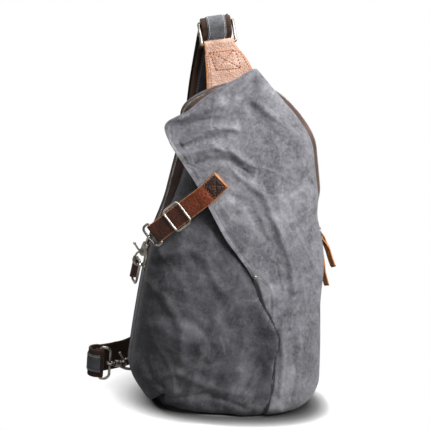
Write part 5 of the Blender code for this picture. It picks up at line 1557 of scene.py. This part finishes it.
def build_clips(mats):
    plane = SIDE_ALONG.lerp(HOOK_DIRECTION, 0.35)
    plane = (plane - SIDE_ACROSS * plane.dot(SIDE_ACROSS)).normalized()
    loop = rounded_loop(SIDE_FOLD + plane * (SIDE_RING_REACH / 2), SIDE_ACROSS, plane,
                        SIDE_STRAP_WIDTH / 2 + 0.0008 + SIDE_WIRE, SIDE_RING_REACH / 2,
                        (0.0055, 0.0022))
    add_piece("side_strap_ring", *tube(loop, SIDE_ACROSS.cross(plane), SIDE_WIRE, 18),
              mats["dark_metal"], "antique_nickel", "side_ring", "side_ring")
    hold = build_clip("side", SIDE_FOLD + plane * SIDE_RING_REACH, SIDE_ACROSS, SIDE_WIRE,
                      HOOK_DIRECTION, V((0, -1, 0)), 1, mats)
    build_catch("side", hold, V((0.10, -0.995, 0)), V((-0.14, 0, -0.99)).normalized(), 0.026,
                0.029, 0.0046, X_AXIS, mats)
    loop = rounded_loop(END_RING, Z_AXIS, X_AXIS, WEBBING_WIDTH / 2 + 0.0008 + END_WIRE,
                        END_RING_REACH / 2, (0.0070, RING_CORNER))
    add_piece("sling_end_ring", *tube(loop, Z_AXIS.cross(X_AXIS), END_WIRE, 18),
              mats["dark_metal"], "antique_nickel", "end_ring", "end_ring")
    hold = build_clip("end", END_EYE_POINT, Z_AXIS, END_WIRE, V((0.86, 0.47, -0.16)).normalized(),
                      V((0.2, -1, 0.1)), -1, mats)
    build_catch("end", hold, V((-0.10, 0.995, 0)), Z_AXIS.copy(), 0.024, 0.030, 0.0090,
                V((0.45, -0.9, 0)), mats)


# ---- Seams ----------------------------------------------------------------------------------------

def build_seams(mats):
    """Piping where the panels meet along the outline."""
    for name, y, inset_of in (("seam_piping_front", SEAM_Y + 0.0002, seam_inset),
                              ("seam_piping_back", BAND_BACK_Y + 0.0008, lambda z: 0.0)):
        line = [V((x + settled(x, z) - nx * (inset_of(z) + 0.0005), y,
                   z - nz * (inset_of(z) + 0.0005)))
                for x, z, nx, nz in outline_path(0.004, 0.0, None)
                if z > 0.0021 or name.endswith("back")]
        line = [p for p in line if p.z > 0.0012]
        add_piece(name, *tube(line, Y_AXIS, 0.0011, 10, closed=False), mats["canvas"],
                  "waxed_canvas")


# ---- Camera, lights and floor ---------------------------------------------------------------------

CAMERA_TURN, CAMERA_RISE, CAMERA_ROLL = math.radians(-8.34), math.radians(12.76), math.radians(4.74)
CAMERA_AWAY, CAMERA_TARGET, CAMERA_LENS = 1.7, V((-0.03184, 0, 0.24571)), 112.85


def build_camera():
    back = V((math.sin(CAMERA_TURN) * math.cos(CAMERA_RISE),
              -math.cos(CAMERA_TURN) * math.cos(CAMERA_RISE), math.sin(CAMERA_RISE)))
    right = (-back).cross(Z_AXIS).normalized()
    up = right.cross(-back)
    tilt, turn = math.cos(CAMERA_ROLL), math.sin(CAMERA_ROLL)
    across, above = right * tilt + up * turn, up * tilt - right * turn
    data = bpy.data.cameras.new("camera")
    data.lens, data.sensor_width = CAMERA_LENS, 36
    camera = bpy.data.objects.new("camera", data)
    bpy.context.scene.collection.objects.link(camera)
    at = CAMERA_TARGET + back * CAMERA_AWAY
    camera.matrix_world = Matrix(((across.x, above.x, back.x, at.x),
                                  (across.y, above.y, back.y, at.y),
                                  (across.z, above.z, back.z, at.z), (0, 0, 0, 1)))
    bpy.context.scene.camera = camera


def area_light(name, place, target, size, watts, tint=(1, 1, 1)):
    data = bpy.data.lights.new(name, "AREA")
    data.shape, data.size, data.energy, data.color = "DISK", size, watts, tint
    light = bpy.data.objects.new(name, data)
    light.matrix_world = Matrix.Translation(place) @ (place - target).to_track_quat(
        "Z", "Y").to_matrix().to_4x4()
    bpy.context.scene.collection.objects.link(light)


FADE_SHIFT, FADE_SCALE = (-0.09, 0.02, 0.0), (5.6, 6.4, 0.0)   # where the floor fades to white


FLOOR_SHADE = ((0.40, 0.05), (0.62, 0.16), (0.82, 0.42), (0.98, 1.0))   # by how open the floor is


def build_studio():
    world = bpy.data.worlds.new("studio")
    world.use_nodes = True
    tree = world.node_tree
    fill = tree.nodes["Background"]
    fill.inputs["Color"].default_value = (0.92, 0.96, 1.0, 1)
    fill.inputs["Strength"].default_value = 0.11
    seen = tree.nodes.new("ShaderNodeBackground")
    seen.inputs["Color"].default_value = (1, 1, 1, 1)
    seen.inputs["Strength"].default_value = 1.0
    shine = tree.nodes.new("ShaderNodeBackground")
    shine.inputs["Color"].default_value = (1, 0.99, 0.97, 1)
    shine.inputs["Strength"].default_value = 0.55
    path = tree.nodes.new("ShaderNodeLightPath")
    lit = tree.nodes.new("ShaderNodeMixShader")
    both = tree.nodes.new("ShaderNodeMixShader")
    tree.links.new(path.outputs["Is Glossy Ray"], lit.inputs[0])
    tree.links.new(fill.outputs[0], lit.inputs[1])
    tree.links.new(shine.outputs[0], lit.inputs[2])
    tree.links.new(path.outputs["Is Camera Ray"], both.inputs[0])
    tree.links.new(lit.outputs[0], both.inputs[1])
    tree.links.new(seen.outputs[0], both.inputs[2])
    tree.links.new(both.outputs[0], tree.nodes["World Output"].inputs["Surface"])
    bpy.context.scene.world = world
    area_light("key", V((1.50, -0.78, 1.25)), V((0, 0, 0.24)), 0.60, 34, (1.0, 0.99, 0.97))
    area_light("front", V((0.5, -2.1, 1.2)), V((0, 0, 0.2)), 0.9, 3)
    area_light("crown", V((0.30, -0.62, 0.98)), V((0.0, -0.03, 0.43)), 0.35, 11.5)
    area_light("over", V((-0.1, 0.5, 1.8)), V((0, 0, 0.1)), 1.4, 30)
    s = Shader("floor_white", Roughness=0.9, Specular_IOR_Level=0.1)
    at = s.coords()
    # ambient occlusion darkens the floor's colour: a painted contact shadow round the bag's foot
    near = s.node("AmbientOcclusion", {"Distance": 0.040}).outputs["AO"]
    dark = s.ramp(near, *FLOOR_SHADE)
    pale = s.ramp(s.noise(at, 6.0, 2.0), (0.0, 0.93), (1.0, 0.95))
    mat = s.finish(s.mix(1.0, pale, dark, "MULTIPLY"))
    flat = s.node("Mapping", {"Vector": at, "Location": FADE_SHIFT, "Scale": FADE_SCALE}).outputs[0]
    away = s.node("VectorMath", {0: flat}, operation="LENGTH").outputs["Value"]
    gone = s.ramp(away, (0.62, 0.0), (0.82, 0.6), (1.0, 1.0))
    clear = s.node("BsdfTransparent").outputs[0]
    both = s.node("MixShader", {0: gone, 1: s.out.outputs[0], 2: clear}).outputs[0]
    s.tree.links.new(both, s.tree.nodes["Material Output"].inputs["Surface"])
    mesh = bpy.data.meshes.new("floor")
    far = 9.0
    mesh.from_pydata([(-far, -far, 0), (far, -far, 0), (far, far, 0), (-far, far, 0)], [],
                     [(0, 1, 2, 3)])
    mesh.materials.append(mat)
    floor = bpy.data.objects.new("floor", mesh)
    bpy.context.scene.collection.objects.link(floor)
    floor.location.z = -0.0002
    bpy.context.scene.view_settings.view_transform = "Standard"


# The dark sewn square at the side strap's end: its length, half-width and colour
SIDE_PATCH = (0.0268, 0.0160, (0.010, 0.007, 0.005))


# ---- Everything -----------------------------------------------------------------------------------

MATS = {
    "canvas": canvas_material(),
    # a darker copy of the canvas: painted shade for the front shell's left panel, which faces away
    # from the key light
    "deep": canvas_material("waxed_canvas_painted_shade", (0.021, 0.021, 0.026), (0.106, 0.105, 0.118),
                            (0.31, 0.305, 0.33)),
    "facing": canvas_material("facing_canvas", (0.060, 0.061, 0.070), (0.150, 0.152, 0.167),
                              (0.30, 0.30, 0.32)),
    "lining": cloth_material("lining_cotton", (0.20, 0.15, 0.10), (0.34, 0.27, 0.19), 0.0009),
    "tape": cloth_material("zip_tape", (0.034, 0.020, 0.016), (0.105, 0.064, 0.053), 0.0012,
                           light=(0.26, 0.155, 0.13)),
    "webbing": cloth_material("brown_webbing", (0.026, 0.014, 0.010), (0.075, 0.038, 0.025),
                              0.0022, rib=True, light=(0.12, 0.062, 0.04)),
    "tan": leather_material("tan_leather", (0.38, 0.215, 0.155), (0.74, 0.52, 0.415),
                            (0.72, 0.33, 0.13), 480.0, 0.36),
    "brown": leather_material("brown_leather", (0.026, 0.008, 0.005), (0.118, 0.031, 0.014),
                              (0.26, 0.10, 0.04), 330.0, 0.36,
                              bend=(tuple(SIDE_KNEE.lerp(SIDE_FOLD, 0.12)), 0.030,
                                    (0.27, 0.052, 0.014)), patch=SIDE_PATCH),
    "tab": leather_material("tab_leather", (0.028, 0.010, 0.007), (0.100, 0.036, 0.022),
                            (0.42, 0.17, 0.06), 560.0, 0.36),
    "pull": leather_material("pull_leather", (0.105, 0.040, 0.016), (0.330, 0.150, 0.058),
                             (0.50, 0.23, 0.08), 520.0, 0.38),
    "edge": edge_material("raw_leather_edge", (0.36, 0.125, 0.035), (0.62, 0.27, 0.10)),
    "metal": metal_material(),
    "dark_metal": metal_material("antique_nickel_dark", (0.36, 0.34, 0.305), (0.09, 0.08, 0.07)),
    "teeth": metal_material("antique_teeth", (0.34, 0.30, 0.25), (0.07, 0.06, 0.05)),
    "foam": cloth_material("pad_foam", (0.50, 0.50, 0.47), (0.62, 0.62, 0.58), 0.0016),
    "board": board_material(),
    "white_thread": thread_material("white_thread", (0.62, 0.60, 0.56)),
    "grey_thread": thread_material("grey_thread", (0.30, 0.30, 0.33)),
    "tan_thread": thread_material("tan_thread", (0.56, 0.18, 0.045)),
    "rust_thread": thread_material("rust_thread", (0.26, 0.085, 0.025)),
    "brown_thread": thread_material("brown_thread", (0.10, 0.06, 0.045)),
}

build_body(MATS)
build_flap(MATS)
build_stud(MATS)
build_zip(MATS)
build_top(MATS)
build_strap(MATS)
build_side_strap(MATS)
build_clips(MATS)
build_seams(MATS)
build_camera()
build_studio()
